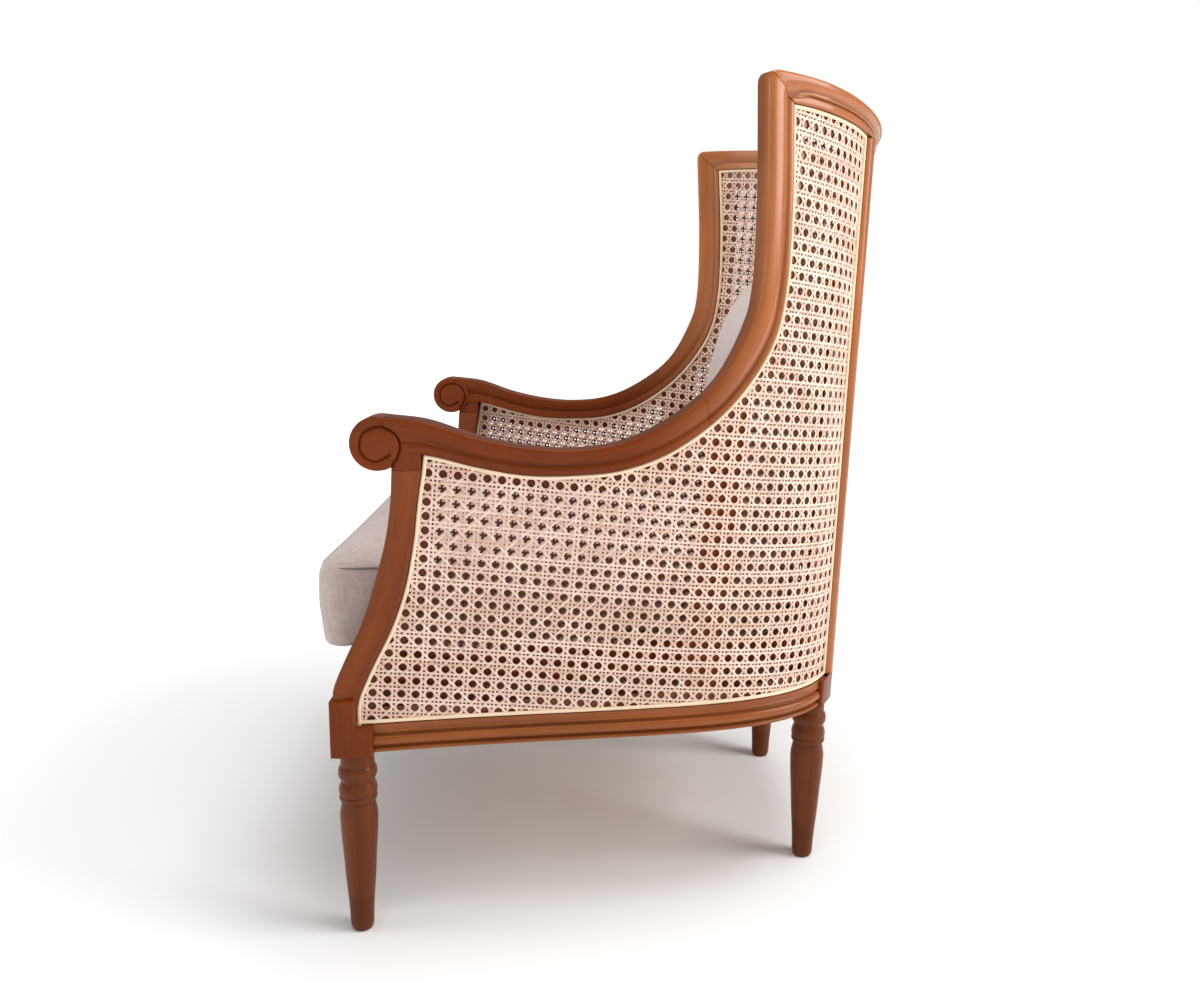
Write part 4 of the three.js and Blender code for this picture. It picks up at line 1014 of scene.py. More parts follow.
def post_section(s):
    """Soft convex face with a shallow hollow beside the cane, and rounded edges."""
    depth = POST_DEPTH_LOW + (POST_DEPTH_HIGH - POST_DEPTH_LOW) * s
    rise, gap = POST_FACE, CANE_GAP_SHARE
    return profile(
        (LEDGE_SHARE, OUTER_LEDGE),
        [(gap, OUTER_LEDGE)], [(gap, rise * 0.45)],
        [(gap + 0.05, rise * 0.6), (0.2, rise * 0.62), (0.36, rise * 0.8), (0.6, rise),
         (0.82, rise * 0.9), (0.93, rise * 0.62), (0.985, rise * 0.1), (1, -rise * 0.6)],
        [(1, 3 * MM - depth)], [(0.97, 0.8 * MM - depth), (0.9, -depth)],
        [(0.55, -depth), (gap + 0.06, -depth), (gap, 1.2 * MM - depth)], [(gap, INNER_LEDGE)],
        [(LEDGE_SHARE, INNER_LEDGE)], [(LEDGE_SHARE, OUTER_LEDGE)],
    )


post_bar = member("post_bar", post_free, post_cane, post_section, 90, worn=evenly(POST_WORN_AND_LIT))
post_top = height_at(POST_FRONT[-1][1])


def neck_line(share):
    """A straight line up from the post's head to the scroll's middle, share deep in the side."""
    low, depth = post_top + NECK_GAP, depth_at(share)
    return on_tub(lambda s: np.stack([np.full(np.shape(s), depth), low + (scroll_z - low) * s], -1))


neck = member("neck", neck_line(POST_FRONT[-1][0]), neck_line(POST_CANE[-1][0]),
              lambda s: denser(post_section(1.0) * (1, NECK_SHARE)), 60)
scrolled_arm = joined("scrolled_arm", [carve(arm_bar), carved_drum("drum"), carve(neck)])
finish_pair("scrolled_arm", scrolled_arm, frame_wood, "arm_rail")


def stepped_block(name, bevel=1.2 * MM):
    """Block over the leg, carried across. It is stepped down behind to clear the cane's bead."""
    step_y = depth_at(POST_CANE[0][0]) - CANE_GAP
    top, shelf = height_at(POST_FRONT[1][1]), CANE_BOTTOM - CANE_GAP
    rear = BLOCK_FRONT + BLOCK
    outline = [(BLOCK_FRONT, RAIL_BOTTOM), (rear, RAIL_BOTTOM), (rear, shelf), (step_y, shelf),
               (step_y, top), (BLOCK_FRONT, top)]
    work = bmesh.new()
    near = [work.verts.new((BLOCK_OUTER - BLOCK, y + SHIFT, z)) for y, z in outline]
    far = [work.verts.new((BLOCK_OUTER, y + SHIFT, z)) for y, z in outline]
    work.faces.new(near)
    work.faces.new(far[::-1])
    for k in range(len(outline)):
        n = (k + 1) % len(outline)
        work.faces.new((near[n], near[k], far[k], far[n]))
    bmesh.ops.recalc_face_normals(work, faces=work.faces)
    bmesh.ops.bevel(work, geom=list(work.edges), offset=bevel, segments=3, affect="EDGES", profile=0.5)
    layer = work.loops.layers.uv.new("along")
    for face in work.faces:
        for loop in face.loops:
            loop[layer].uv = (loop.vert.co.z, loop.vert.co.x + loop.vert.co.y)
    mesh = bpy.data.meshes.new(name)
    work.to_mesh(mesh)
    work.free()
    return mesh


front_post = joined("front_post_whole", [post_bar, stepped_block("stepped_block")])
finish_pair("front_post", front_post, frame_wood, "front_post")

# %% [markdown]
# The top rails fall from the wing's corner to the middle of the back. They meet the wing in a
# mitre, as picture frame mouldings do, and the outer corner is rounded off.

# %% Top rails
CREST_DROP = 29 * MM
TOP_LEDGE = -0.95
TOP_HEIGHT_WING, TOP_HEIGHT_BACK = 31 * MM, 25 * MM
BACK_POST_LOW, BACK_POST_HIGH = 147 * MM, 132 * MM
corner_u, corner_cane_u = float(u_at_depth(*corner)), float(u_at_depth(*corner_cane))


def back_post_u(z):
    """The stile's middle line: its distance from the chair's middle changes evenly with height."""
    z = np.asarray(z, float)
    x = BACK_POST_LOW + (BACK_POST_HIGH - BACK_POST_LOW) * ruling_share(z)
    return u_at_width(x, z)


rail_end = float(back_post_u(HEIGHT))


def folded(u):
    """Places on the right side as their mirror images on the left."""
    return 1 - np.abs(1 - np.asarray(u))


def crest(u):
    """Height of the top rail's free edge. It falls softly from the corner to the back's middle."""
    u = folded(u)
    return HEIGHT - CREST_DROP * smooth((u - corner_u) / (1 - corner_u))


def top_height(u):
    """Height of the top rail itself, less at the back than at the wing."""
    share = smooth(folded(u), corner_u, rail_end)
    return TOP_HEIGHT_WING + (TOP_HEIGHT_BACK - TOP_HEIGHT_WING) * share


def top_free(s):
    """The top rail's free edge, rounded at the corner."""
    u = corner_u + (rail_end - corner_u) * np.asarray(s)
    z = crest(u)
    depth = tub(u, z)[..., 1] - SHIFT
    placed = rounded_corner(lambda k: np.stack([depth, z], -1), False)(s)
    near = depth - corner[0] < CORNER_ROUND
    u = np.where(near, u_at_depth(placed[..., 0], placed[..., 1]), u)
    return np.stack([u, placed[..., 1]], -1)


def top_cane(s):
    """The edge beside the cane. It starts at the wing's own corner and soon runs with the crest."""
    s = np.asarray(s)
    u = corner_cane_u + (rail_end - corner_cane_u) * s
    z = crest(u) - top_height(u)
    return np.stack([u, corner_cane[1] + (z - corner_cane[1]) * np.clip(4 * s, 0, 1)], -1)


def top_section(s):
    """Starts as the wing's section and grows fuller along the first third."""
    rise = ARM_FACE + (TOP_FACE - ARM_FACE) * min(1, 3 * s)
    cove = WING_COVE + (TOP_COVE - WING_COVE) * smooth(s, 0, 0.18)
    return moulding(cove, rise, arm_depth(1), 0.55, 0.2 + 0.42 * min(1, 5 * s), TOP_LEDGE)


def across_back(s):
    """Places from one end of the back's top rail to the other."""
    return rail_end + (2 - 2 * rail_end) * np.asarray(s)


def crest_line(u):
    """The crest as a line of places and heights."""
    return np.stack([u, crest(u)], -1)


def cane_under_crest(u):
    """The edge beside the cane, as far below the crest as the rail is high."""
    return np.stack([u, crest(u) - top_height(u)], -1)


# The top rails are the palest wood: wear and painted light, as they stand highest.
side_top = member("side_top_rail", top_free, top_cane, top_section, 90, 3 * JOINT, 1 - JOINT, evenly(1))
finish_pair("side_top_rail", side_top, frame_wood, "top_rail")
back_top = member("middle_top_rail", lambda s: crest_line(across_back(s)),
                  lambda s: cane_under_crest(across_back(s)), lambda s: top_section(1.0), 60, JOINT,
                  1 - JOINT, evenly(1))
finish_piece("middle_top_rail", back_top, frame_wood, ["top_rail_back"])

# %% [markdown]
# Behind, a stile on each side parts the side cane from the back cane. Below it stands a block
# with eased edges over the back leg, set towards the front.

# %% Back posts
STILE = 30 * MM
STILE_RISE, BLOCK_RISE = 8.8 * MM, 9 * MM
LEDGE, BACK_LEDGE, SIDE_LEDGE = 8 * MM, 18 * MM, 58 * MM
LEG_AHEAD = 21 * MM
RAIL_DEPTH = 24 * MM


def beside_post(z, offset):
    """The place on the tub an offset in metres behind the stile's middle line."""
    z = np.asarray(z, float)
    return back_post_u(z) + length_in_u(back_post_u(z), z, offset)


def upright_mesh(name, section, heights, worn=0.0):
    """A flat section of (offset, w) carried up the stile's line."""
    z = np.broadcast_to(heights[:, None], (len(heights), len(section)))
    rings = tub(beside_post(z, section[:, 0]), z, section[:, 1])
    return swept(name, rings, heights, run_lengths(section), glaze=0.0, worn=worn)


def stile_half(reach):
    """Half of the stile's section, from the middle of its face round to the middle of its back."""
    half, depth = STILE / 2 - CANE_GAP, arm_depth(1)
    return np.vstack([profile(
        (0, STILE_RISE),
        [(half * 0.3, STILE_RISE * 0.97), (half * 0.62, STILE_RISE * 0.8),
         (half * 0.85, STILE_RISE * 0.5), (half * 0.96, STILE_RISE * 0.3), (half, 0)],
        [(half, OUTER_LEDGE)], [(reach, OUTER_LEDGE)], [(reach, INNER_LEDGE)],
        [(half, INNER_LEDGE)], [(half, 2 * MM - depth)],
        [(half * 0.9, 0.5 * MM - depth), (half * 0.5, -depth), (0, -depth)],
    ), [(0, -depth)]])


def stile_section():
    """The back's side has a narrow ledge, the side's a broad one, as this stile is cut from a board."""
    return np.vstack([stile_half(STILE / 2 + BACK_LEDGE),
                      stile_half(STILE / 2 + SIDE_LEDGE)[1:-1][::-1] * (-1, 1)])


def rounded_section(front, rear, low, high, bevel):
    """Rectangle with quarter-round corners."""
    turn = np.linspace(0, math.pi / 2, 5)
    parts = []
    for cx, cy, start in ((rear - bevel, high - bevel, 0), (front + bevel, high - bevel, 1),
                          (front + bevel, low + bevel, 2), (rear - bevel, low + bevel, 3)):
        angle = turn + start * math.pi / 2
        parts.append(np.column_stack([cx + bevel * np.cos(angle), cy + bevel * np.sin(angle)]))
    return np.vstack(parts)


stile_top = float(crest(rail_end)) - TOP_HEIGHT_BACK - PLAY
block_front = -LEG_AHEAD - BLOCK / 2
rail_heights = np.linspace(RAIL_BOTTOM, CANE_BOTTOM - CANE_GAP, 12)
# The stile is pale wood: wear and a painted highlight where its face catches the rear light.
post_parts = [
    upright_mesh("stile", stile_section(), np.linspace(CANE_BOTTOM - LEDGE, stile_top, 60), 0.7),
    upright_mesh("foot", rounded_section(-STILE / 2 - LEDGE, STILE / 2 + LEDGE, -RAIL_DEPTH,
                                         STILE_RISE * 0.7, 2 * MM), rail_heights),
    upright_mesh("block", rounded_section(block_front, block_front + BLOCK, BLOCK_RISE - BLOCK,
                                          BLOCK_RISE, 4 * MM), rail_heights),
    upright_mesh("ledge", rounded_section(block_front, 0, INNER_LEDGE, OUTER_LEDGE, PLAY),
                 np.linspace(CANE_BOTTOM - LEDGE, CANE_BOTTOM + LEDGE, 8)),
]
finish_pair("back_post", joined("back_post_whole", post_parts), frame_wood, "back_post")

# %% [markdown]
# The seat rails carry a classical run of mouldings: a small bead at the foot, a groove, a torus,
# a cove, a fine ridge and a flat band under the cane.

# %% Seat rails
RAIL_RISE = 6 * MM
# How pale the seat rails are: wear with a painted highlight on the torus.
RAIL_WORN_AND_LIT = 0.5


def height_share(z):
    """Share from the cane's edge at 0 to the underside at 1."""
    return (CANE_BOTTOM / MM - z) / ((CANE_BOTTOM - RAIL_BOTTOM) / MM)


def rail_section():
    """The run of mouldings by height in millimetres, from the ledge down to the underside."""
    h, r = height_share, RAIL_RISE
    ledge, gap = h(281), h(261.6)
    return profile(
        (ledge, OUTER_LEDGE),
        [(gap, OUTER_LEDGE)], [(gap, r * 0.42)],
        [(h(260.9), r * 0.5), (h(258), r * 0.5), (h(254.4), r * 0.5)],
        [(h(253.6), r * 0.62), (h(252.4), r * 0.66), (h(251.4), r * 0.55)],
        [(h(250.6), r * 0.2), (h(249.2), r * 0.02), (h(247.8), r * 0.16), (h(246.8), r * 0.42)],
        [(h(245.6), r * 0.72), (h(243.4), r * 0.94), (h(241), r), (h(238.4), r * 0.93),
         (h(236.4), r * 0.7), (h(235.2), r * 0.42)],
        [(h(234.4), r * 0.12), (h(233.2), r * 0.04), (h(232.3), r * 0.24)],
        [(h(231.6), r * 0.62), (h(230), r * 0.86), (h(228.2), r * 0.78), (h(227), r * 0.5), (1, 0)],
        [(1, -RAIL_DEPTH)], [(gap, -RAIL_DEPTH)], [(gap, INNER_LEDGE)], [(ledge, INNER_LEDGE)],
        [(ledge, OUTER_LEDGE)],
    )


def along_seat(from_u, to_u, z):
    """A level line between two places on the tub."""
    return lambda s: np.stack([from_u + (to_u - from_u) * s, np.full(np.shape(s), z)], -1)


def side_rail_ends(z):
    """From behind the front block to before the rear one."""
    front = float(u_at_depth(BLOCK_FRONT + BLOCK + PLAY, z))
    return front, float(beside_post(z, -LEG_AHEAD - BLOCK / 2 - PLAY))


def back_rail_ends(z):
    """Between the ledges of the two stiles."""
    start = float(beside_post(z, STILE / 2 + LEDGE + PLAY))
    return start, 2 - start


def seat_rail(name, ends, steps):
    """The section carried from end to end; ends(z) gives both places on the tub at a height."""
    free, cane_edge = (along_seat(*ends(z), z) for z in (RAIL_BOTTOM, CANE_BOTTOM))
    return member(name, free, cane_edge, lambda s: rail_section(), steps, worn=evenly(RAIL_WORN_AND_LIT))


side_rail = seat_rail("side_seat_rail", side_rail_ends, 90)
finish_pair("side_seat_rail", side_rail, frame_wood, "side_seat_rail")
back_rail = seat_rail("back_seat_rail", back_rail_ends, 50)
finish_piece("back_seat_rail_moulded", back_rail, frame_wood, ["back_seat_rail"])

# %% [markdown]
# The front rail is straight and carries the same run of mouldings on its face.

# %% Front rail
FRONT_RAIL_BACK, FRONT_RAIL_FACE = -240 * MM, -270 * MM
FRONT_RAIL_HEIGHT, FRONT_RAIL_RISE = 62 * MM, 4 * MM


def front_rail():
    """Profile in depth and height, carried straight across between the blocks."""
    y = lambda rise: FRONT_RAIL_FACE - rise * FRONT_RAIL_RISE
    z = lambda share: RAIL_BOTTOM + share * FRONT_RAIL_HEIGHT
    outline = profile(
        (FRONT_RAIL_BACK, z(0)),
        [(y(0), z(0))], [(y(0.6), z(0.02)), (y(0.75), z(0.05)), (y(0.5), z(0.085)), (y(0), z(0.1))],
        [(y(0.1), z(0.13)), (y(0.7), z(0.16)), (y(1), z(0.22)), (y(0.8), z(0.29)),
         (y(0.1), z(0.33)), (y(0), z(0.36))],
        [(y(0), z(0.84))],
        [(y(0.35), z(0.86)), (y(0.5), z(0.9)), (y(0.3), z(0.95)), (y(0), z(0.97))],
        [(y(-0.3), z(1))], [(FRONT_RAIL_BACK, z(1))], [(FRONT_RAIL_BACK, z(0))],
    )
    half = BLOCK_OUTER - BLOCK - PLAY
    x = np.linspace(-half, half, 24)
    rings = np.empty((len(x), len(outline), 3))
    rings[..., 0] = x[:, None]
    rings[..., 1:] = outline + (SHIFT, 0)
    return swept("front_rail", rings, x, run_lengths(outline), glaze=0.0)


finish_piece("front_rail_moulded", front_rail(), frame_wood, ["front_seat_rail"])

HIDDEN_SOLIDS = ("seat_bearer_left", "seat_bearer_right", "corner_block_left", "corner_block_right",
                 "seat_board")
for node_name in HIDDEN_SOLIDS:
    solid = frame["nodes"][node_name]
    solid.data.materials.clear()
    solid.data.materials.append(raw_wood)

# %% [markdown]
# Cane sheeting is woven flat, and cut and bent into the frame afterwards. So the weave is drawn on
# a flat plane here too, and the plane is wrapped on the tub: the tub is unrolled ruling by ruling
# into a flat strip, and every point of the flat weave is looked up in it.

# %% The unrolled tub


class Unrolled:
    """Flat places of the rulings of a stretch of the tub, laid side by side without stretching."""

    def __init__(self, start, end, w, count=160):
        self.u = np.linspace(start, end, count)
        low, high = tub(self.u, LOW_Z, w), tub(self.u, HIGH_Z, w)
        flat_low, flat_high = np.zeros((count, 2)), np.zeros((count, 2))
        flat_high[0] = (0, np.linalg.norm(high[0] - low[0]))
        for k in range(1, count):
            flat_low[k] = self.third(flat_low[k - 1], flat_high[k - 1], low[k - 1], high[k - 1], low[k])
            flat_high[k] = self.third(flat_low[k], flat_high[k - 1], low[k], high[k - 1], high[k])
        self.low, self.high, self.w = flat_low, flat_high, w

    @staticmethod
    def third(a, b, p, q, r):
        """Flat place of r beside the flat edge a-b, from its distances to p and q."""
        base, pr, qr = (np.linalg.norm(m) for m in (q - p, r - p, r - q))
        along = (pr ** 2 - qr ** 2 + base ** 2) / (2 * base)
        aside = math.sqrt(max(pr ** 2 - along ** 2, 0))
        ahead = (b - a) / np.linalg.norm(b - a)
        return a + along * ahead + aside * np.array([ahead[1], -ahead[0]])

    def ruling(self, u):
        """Lower and upper flat end of the ruling at u."""
        return points_at(u, self.u, self.low), points_at(u, self.u, self.high)

    def wrap(self, flat):
        """Flat points back to u and height: halve u until the point lies on its ruling."""
        a, b = np.full(flat.shape[:-1], self.u[0]), np.full(flat.shape[:-1], self.u[-1])
        for _ in range(30):
            middle = (a + b) / 2
            low, high = self.ruling(middle)
            line, off = high - low, flat - low
            right = line[..., 1] * off[..., 0] - line[..., 0] * off[..., 1] > 0
            a, b = np.where(right, middle, a), np.where(right, b, middle)
        low, high = self.ruling((a + b) / 2)
        line = high - low
        share = np.sum((flat - low) * line, -1) / np.sum(line * line, -1)
        return (a + b) / 2, LOW_Z + share * (HIGH_Z - LOW_Z)

    def flat(self, u, z):
        """Flat place of a point on the ruling at u, shared by its height."""
        low, high = self.ruling(u)
        return low + (high - low) * ruling_share(z)[..., None]


# %% [markdown]
# The weave has six strands to a cell: a pair upright, a pair level, and a slanting strand each
# way. The slanting ones cross each other halfway along the pairs, over one pair and under the
# other, which leaves an eight-sided hole in the middle of every cell.

# %% Woven sheets
STRAND_HALF, SLANT_HALF = 1.25 * MM, 1.35 * MM
PAIR_OFFSET = 2.35 * MM
STRAND_THICK = 0.55 * MM
LEAST = 1e-12
UPRIGHT_WAVE, LEVEL_WAVE, SLANT_WAVE = (-0.35, 0.1), (0.3, -0.1), (0.75, -0.65)
tones_of_strands = np.random.default_rng(7)


def ribbon(path, side, out, half, thick):
    """Points of a strand: beside each point of its path a low bar's four corners, narrower above."""
    across = np.array([-half, -half * 0.7, half * 0.7, half])[:, None]
    high = np.array([-thick / 2, thick / 2, thick / 2, -thick / 2])[:, None]
    return path[:, None] + across * side[:, None] + high * out[:, None]


def inside_outline(points, outline):
    """Even-odd test of flat points against a closed outline, one outline edge at a time."""
    x, y = points[..., 0], points[..., 1]
    inside = np.zeros(x.shape, bool)
    for (ax, ay), (bx, by) in zip(outline, np.roll(outline, -1, 0)):
        if ay == by:
            continue
        cross = (ay > y) != (by > y)
        inside ^= cross & (x < ax + (y - ay) * (bx - ax) / (by - ay))
    return inside


def woven_sheet(name, unrolled, outline_uz, w, outward, cell, origin):
    """All strands of one sheet. cell holds the two flat steps from a hole to its neighbours, along a
    row and up a column; origin is the flat place of one crossing."""
    outline = unrolled.flat(outline_uz[:, 0], outline_uz[:, 1])
    local = (outline - origin) @ np.linalg.inv(cell)
    low, high = np.floor(local.min(0)) - 1, np.ceil(local.max(0)) + 1
    strands = []
    span = np.arange(low[0], high[0] + 0.01, 0.5)
    rise = np.arange(low[1], high[1] + 0.01, 0.5)
    pair = PAIR_OFFSET / np.linalg.norm(cell[0])
    for axis, steps, (over, under) in ((0, rise, UPRIGHT_WAVE), (1, span, LEVEL_WAVE)):
        wave = np.where(np.mod(steps * 2, 2) == 0, over, under)
        for k in np.arange(low[axis], high[axis] + 1):
            for off in (-pair, pair):
                line = np.column_stack([np.full(len(steps), k + off), steps])
                strands.append((line if axis == 0 else line[:, ::-1], wave, STRAND_HALF))
    tall = high[1] - low[1]
    steps = np.arange(0, tall + 0.01, 0.5)
    for sign, base in ((1, low[1]), (-1, high[1])):
        for k in np.arange(low[0] - tall, high[0] + tall):
            x, y = k + 0.5 + steps, base + sign * steps
            wave = np.where(np.mod(steps * 2, 2) == 0, *SLANT_WAVE) * sign
            strands.append((np.column_stack([x, y]), wave, SLANT_HALF))
    flats = [origin + line @ cell for line, wave, half in strands]
    keep = inside_outline(np.vstack(flats), outline)
    pieces, begin = [], 0
    for flat, (line, wave, half) in zip(flats, strands):
        kept = keep[begin:begin + len(flat)]
        begin += len(flat)
        ends = np.flatnonzero(np.diff(np.concatenate([[0], kept.astype(int), [0]])))
        for first, last in zip(ends[::2], ends[1::2]):
            if last - first > 1:
                pieces.append((flat[first:last], wave[first:last], half))
    return build_strands(name, unrolled, pieces, outline, w, outward)


def extend_to(outline, inner, outer, halvings=10):
    """The points between inner and outer flat points where the outline is crossed."""
    for _ in range(halvings):
        middle = (inner + outer) / 2
        within = inside_outline(middle, outline)[:, None]
        inner, outer = np.where(within, middle, inner), np.where(within, outer, middle)
    return inner


def build_strands(name, unrolled, pieces, outline, w, outward):
    """Every strand reaches the outline at both ends, then all are wrapped on the tub at once."""
    lines, waves, halves = [], [], []
    firsts, lasts = (extend_to(outline, np.array([p[0][end] for p in pieces]),
                               np.array([2 * p[0][end] - p[0][near] for p in pieces]))
                     for end, near in ((0, 1), (-1, -2)))
    for (flat, wave, half), first, last in zip(pieces, firsts, lasts):
        lines.append(np.vstack([first, flat, last]))
        waves.append(np.concatenate([[wave[0] * 0.3], wave, [wave[-1] * 0.3]]))
        halves.append(half)
    counts = [len(line) for line in lines]
    flat = np.vstack(lines)
    wave = np.concatenate(waves) * MM * outward
    u, z = unrolled.wrap(flat)
    centre = tub(u, z, w + wave)
    out = unit(tub(u, z, w + MM * outward) - tub(u, z, w))
    rows, faces, tones, maps = [], [], [], []
    start, begin = 0, 0
    for count, half in zip(counts, halves):
        path, up = centre[begin:begin + count], out[begin:begin + count]
        side = unit(np.cross(unit(np.gradient(path, axis=0), LEAST), up), LEAST)
        rows.append(ribbon(path, side, up, half, STRAND_THICK).reshape(-1, 3))
        faces.append(grid_faces(count, 4, False, True, start))
        faces.append(np.array([[3, 2, 1, 0], np.arange(-4, 0) + count * 4]) + start)
        tones.append(np.full(count * 4, tones_of_strands.random()))
        across = np.array([-half, -half * 0.55, half * 0.55, half]) + tones_of_strands.random()
        places = np.broadcast_arrays(run_lengths(path)[:, None], across)
        maps.append(np.stack(places, -1).reshape(-1, 2))
        start += count * 4
        begin += count
    mesh = mesh_from(name, np.vstack(rows), np.vstack(faces), crease=60, maps=np.vstack(maps),
                     tones={"tone": np.concatenate(tones)})
    # Faces towards the gap between the layers are marked reverse and take painted shade.
    under = np.concatenate([np.append(np.tile([0, 0, 0, 1], count - 1), [0, 0]) for count in counts])
    mesh.attributes.new("reverse", "FLOAT", "FACE").data.foreach_set("value", under.astype(np.float32))
    print(name, "strands:", len(counts), "triangles:", 2 * len(mesh.polygons))
    return mesh

# %% [markdown]
# The side cane fills the opening between post, arm, wing, top rail, stile and seat rail. Its outline
# is followed once round, and both layers of cane and the reed beads use it.

# %% Outline of the side cane
ARM_START = 1 / (len(ARM_CANE) - 1)


def side_outline():
    """Closed line of (u, height): seat rail, stile, top rail, wing and arm, post."""
    seat_u = post_cane(np.array([0.0]))[0, 0]
    bottom_end = float(beside_post(CANE_BOTTOM, -STILE / 2))
    bottom = np.column_stack([np.linspace(seat_u, bottom_end, 70), np.full(70, CANE_BOTTOM)])
    top_end = float(beside_post(stile_top, -STILE / 2))
    top_s = (top_end - corner_cane_u) / (rail_end - corner_cane_u)
    top_end = top_cane(np.array([top_s]))[0]
    z = np.linspace(CANE_BOTTOM, top_end[1], 90)
    rear = np.column_stack([beside_post(z, -STILE / 2), z])
    top = top_cane(np.linspace(top_s, 0, 40))
    arm = on_tub(arm_cane)(np.linspace(1, ARM_START, 140))
    post = post_cane(np.linspace(1, 0, 70))
    return np.vstack([bottom[:-1], rear[:-1], top[:-1], arm, post[:-1]])


def back_outline():
    """Closed line of the back cane: seat rail, stile, top rail, stile."""
    start = float(beside_post(CANE_BOTTOM, STILE / 2))
    bottom = np.column_stack([np.linspace(start, 2 - start, 40), np.full(40, CANE_BOTTOM)])
    top_u = float(beside_post(stile_top, STILE / 2))
    top = cane_under_crest(np.linspace(2 - top_u, top_u, 30))
    z = np.linspace(CANE_BOTTOM, top[0, 1], 90)
    left = np.column_stack([beside_post(z, STILE / 2), z])
    right = np.column_stack([2 - left[:, 0], z])
    return np.vstack([bottom[:-1], right[:-1], top[:-1], left[:0:-1]])


side_line, back_line = side_outline(), back_outline()
print("side outline points:", len(side_line), "back:", len(back_line))

# %% [markdown]
# Behind the outer cane, and seen only through its holes, two slats stiffen each side: an upright
# brace that carries the elbow, and a rail at the height of the seat's deck.

# %% Slats between the sheets
SLAT = 2.8 * MM
BRACE_WIDTH, BRACE_LOW_U, BRACE_HIGH_U = 48 * MM, 0.435, 0.486
DECK_SLAT_LOW, DECK_SLAT_HIGH = 301 * MM, 343 * MM
BRACE_REACH = 0.4, 0.75


def slat_mesh(name, start_line, end_line, face):
    """Four-sided bar between two lines of (u, height), from its face inward by a slat's thickness."""
    corners = ((start_line, face), (end_line, face), (end_line, face - SLAT), (start_line, face - SLAT))
    rings = np.stack([tub(line[:, 0], line[:, 1], w) for line, w in corners], 1)
    across = np.linalg.norm(rings[0] - rings[0, 0], axis=1)
    return swept(name, rings, run_lengths(rings[:, 0]), across, glaze=0.0)


def brace_line(aside):
    """One edge of the brace, from the seat rail's ledge up to the ledge of the arm or the wing."""
    def edge(z):
        middle = BRACE_LOW_U + (BRACE_HIGH_U - BRACE_LOW_U) * ruling_share(z)
        return middle + length_in_u(middle, z, aside)

    ledge = on_tub(arm_cane)(np.linspace(*BRACE_REACH, 200))
    head = float(np.interp(0, ledge[:, 0] - edge(ledge[:, 1]), ledge[:, 1])) - PLAY
    z = np.linspace(CANE_BOTTOM + LEDGE, head, 30)
    return np.column_stack([edge(z), z])


def deck_line(z):
    """An edge of the deck's slat, from the post to the stile behind."""
    post = post_cane(np.linspace(0, 1, 200))
    start = np.interp(z, post[:, 1], post[:, 0])
    u = np.linspace(start, float(beside_post(z, -STILE / 2 - LEDGE - PLAY)), 80)
    return np.column_stack([u, np.full(80, z)])


brace_face = OUTER_LEDGE - PLAY
deck_face = brace_face - SLAT - 4 * PLAY
brace = slat_mesh("elbow_brace", brace_line(-BRACE_WIDTH / 2), brace_line(BRACE_WIDTH / 2), brace_face)
finish_pair("elbow_brace", brace, frame_wood, "side_brace")
deck_slat = slat_mesh("deck_slat_stained", deck_line(DECK_SLAT_LOW), deck_line(DECK_SLAT_HIGH),
                      deck_face)
finish_pair("deck_slat_stained", deck_slat, frame_wood, "deck_slat")

# %% [markdown]
# On the flat sheet the rows slope a little and the columns lean a little, as the sheet was drawn
# tight over the hollow side. Two steps and the place of one hole settle a sheet's whole pattern.

# %% Cane sheets
SHEET_OUT, SHEET_IN = -0.9 * MM, -12.3 * MM
ROW_STEP, COLUMN_STEP = 16.24 * MM, 16.49 * MM
ROW_FALL, COLUMN_LEAN = math.radians(6.84), math.radians(4.59)
SIDE_CELL = np.array([(ROW_STEP * math.cos(ROW_FALL), -ROW_STEP * math.sin(ROW_FALL)),
                      (COLUMN_STEP * math.sin(COLUMN_LEAN), COLUMN_STEP * math.cos(COLUMN_LEAN))])
BACK_CELL = np.diag([ROW_STEP, COLUMN_STEP])
SIDE_HOLE = (0.1869, 429.7 * MM)
SIDE_SPAN = (-0.02, 0.80)
INNER_SLIP = np.array([5.2, 8.2]) * MM


def make_sheets():
    """Outer and inner layer of sides and back; the inner one is cut from its sheet a little aside."""
    hole = np.array(SIDE_HOLE)
    for layer, w, outward, slip in (("outer", SHEET_OUT, 1, 0), ("inner", SHEET_IN, -1, INNER_SLIP)):
        flat = Unrolled(*SIDE_SPAN, w)
        origin = flat.flat(hole[:1], hole[1:])[0] - SIDE_CELL.sum(0) / 2 + slip
        mesh = woven_sheet(f"side_weave_{layer}", flat, side_line, w, outward, SIDE_CELL, origin)
        finish_pair(f"side_weave_{layer}", mesh, cane, f"side_cane_{layer}")
        back = Unrolled(back_line[:, 0].min() - 0.02, back_line[:, 0].max() + 0.02, w)
        middle = back.flat(np.array([1.0]), np.array([0.5]))[0] + slip
        mesh = woven_sheet(f"back_weave_{layer}", back, back_line, w, outward, BACK_CELL, middle)
        finish_piece(f"back_weave_{layer}", mesh, cane, [f"back_cane_{layer}"])


make_sheets()

# %% [markdown]
# A reed bead is pressed into the groove over the edge of each sheet and holds it tight. It is
# half round, runs along the outline just inside the wood, and is mitred at the corners.

# %% Reed beads
BEAD_HALF, BEAD_RISE, BEAD_GAP, BEAD_FOOT = 2.2 * MM, 2.1 * MM, -0.7 * MM, -0.8 * MM
BEAD_STEP, CORNER_ANGLE = 5 * MM, math.radians(30)
BEAD_LAYERS = ("outer", 0.2 * MM, 1), ("inner", -13.4 * MM, -1)


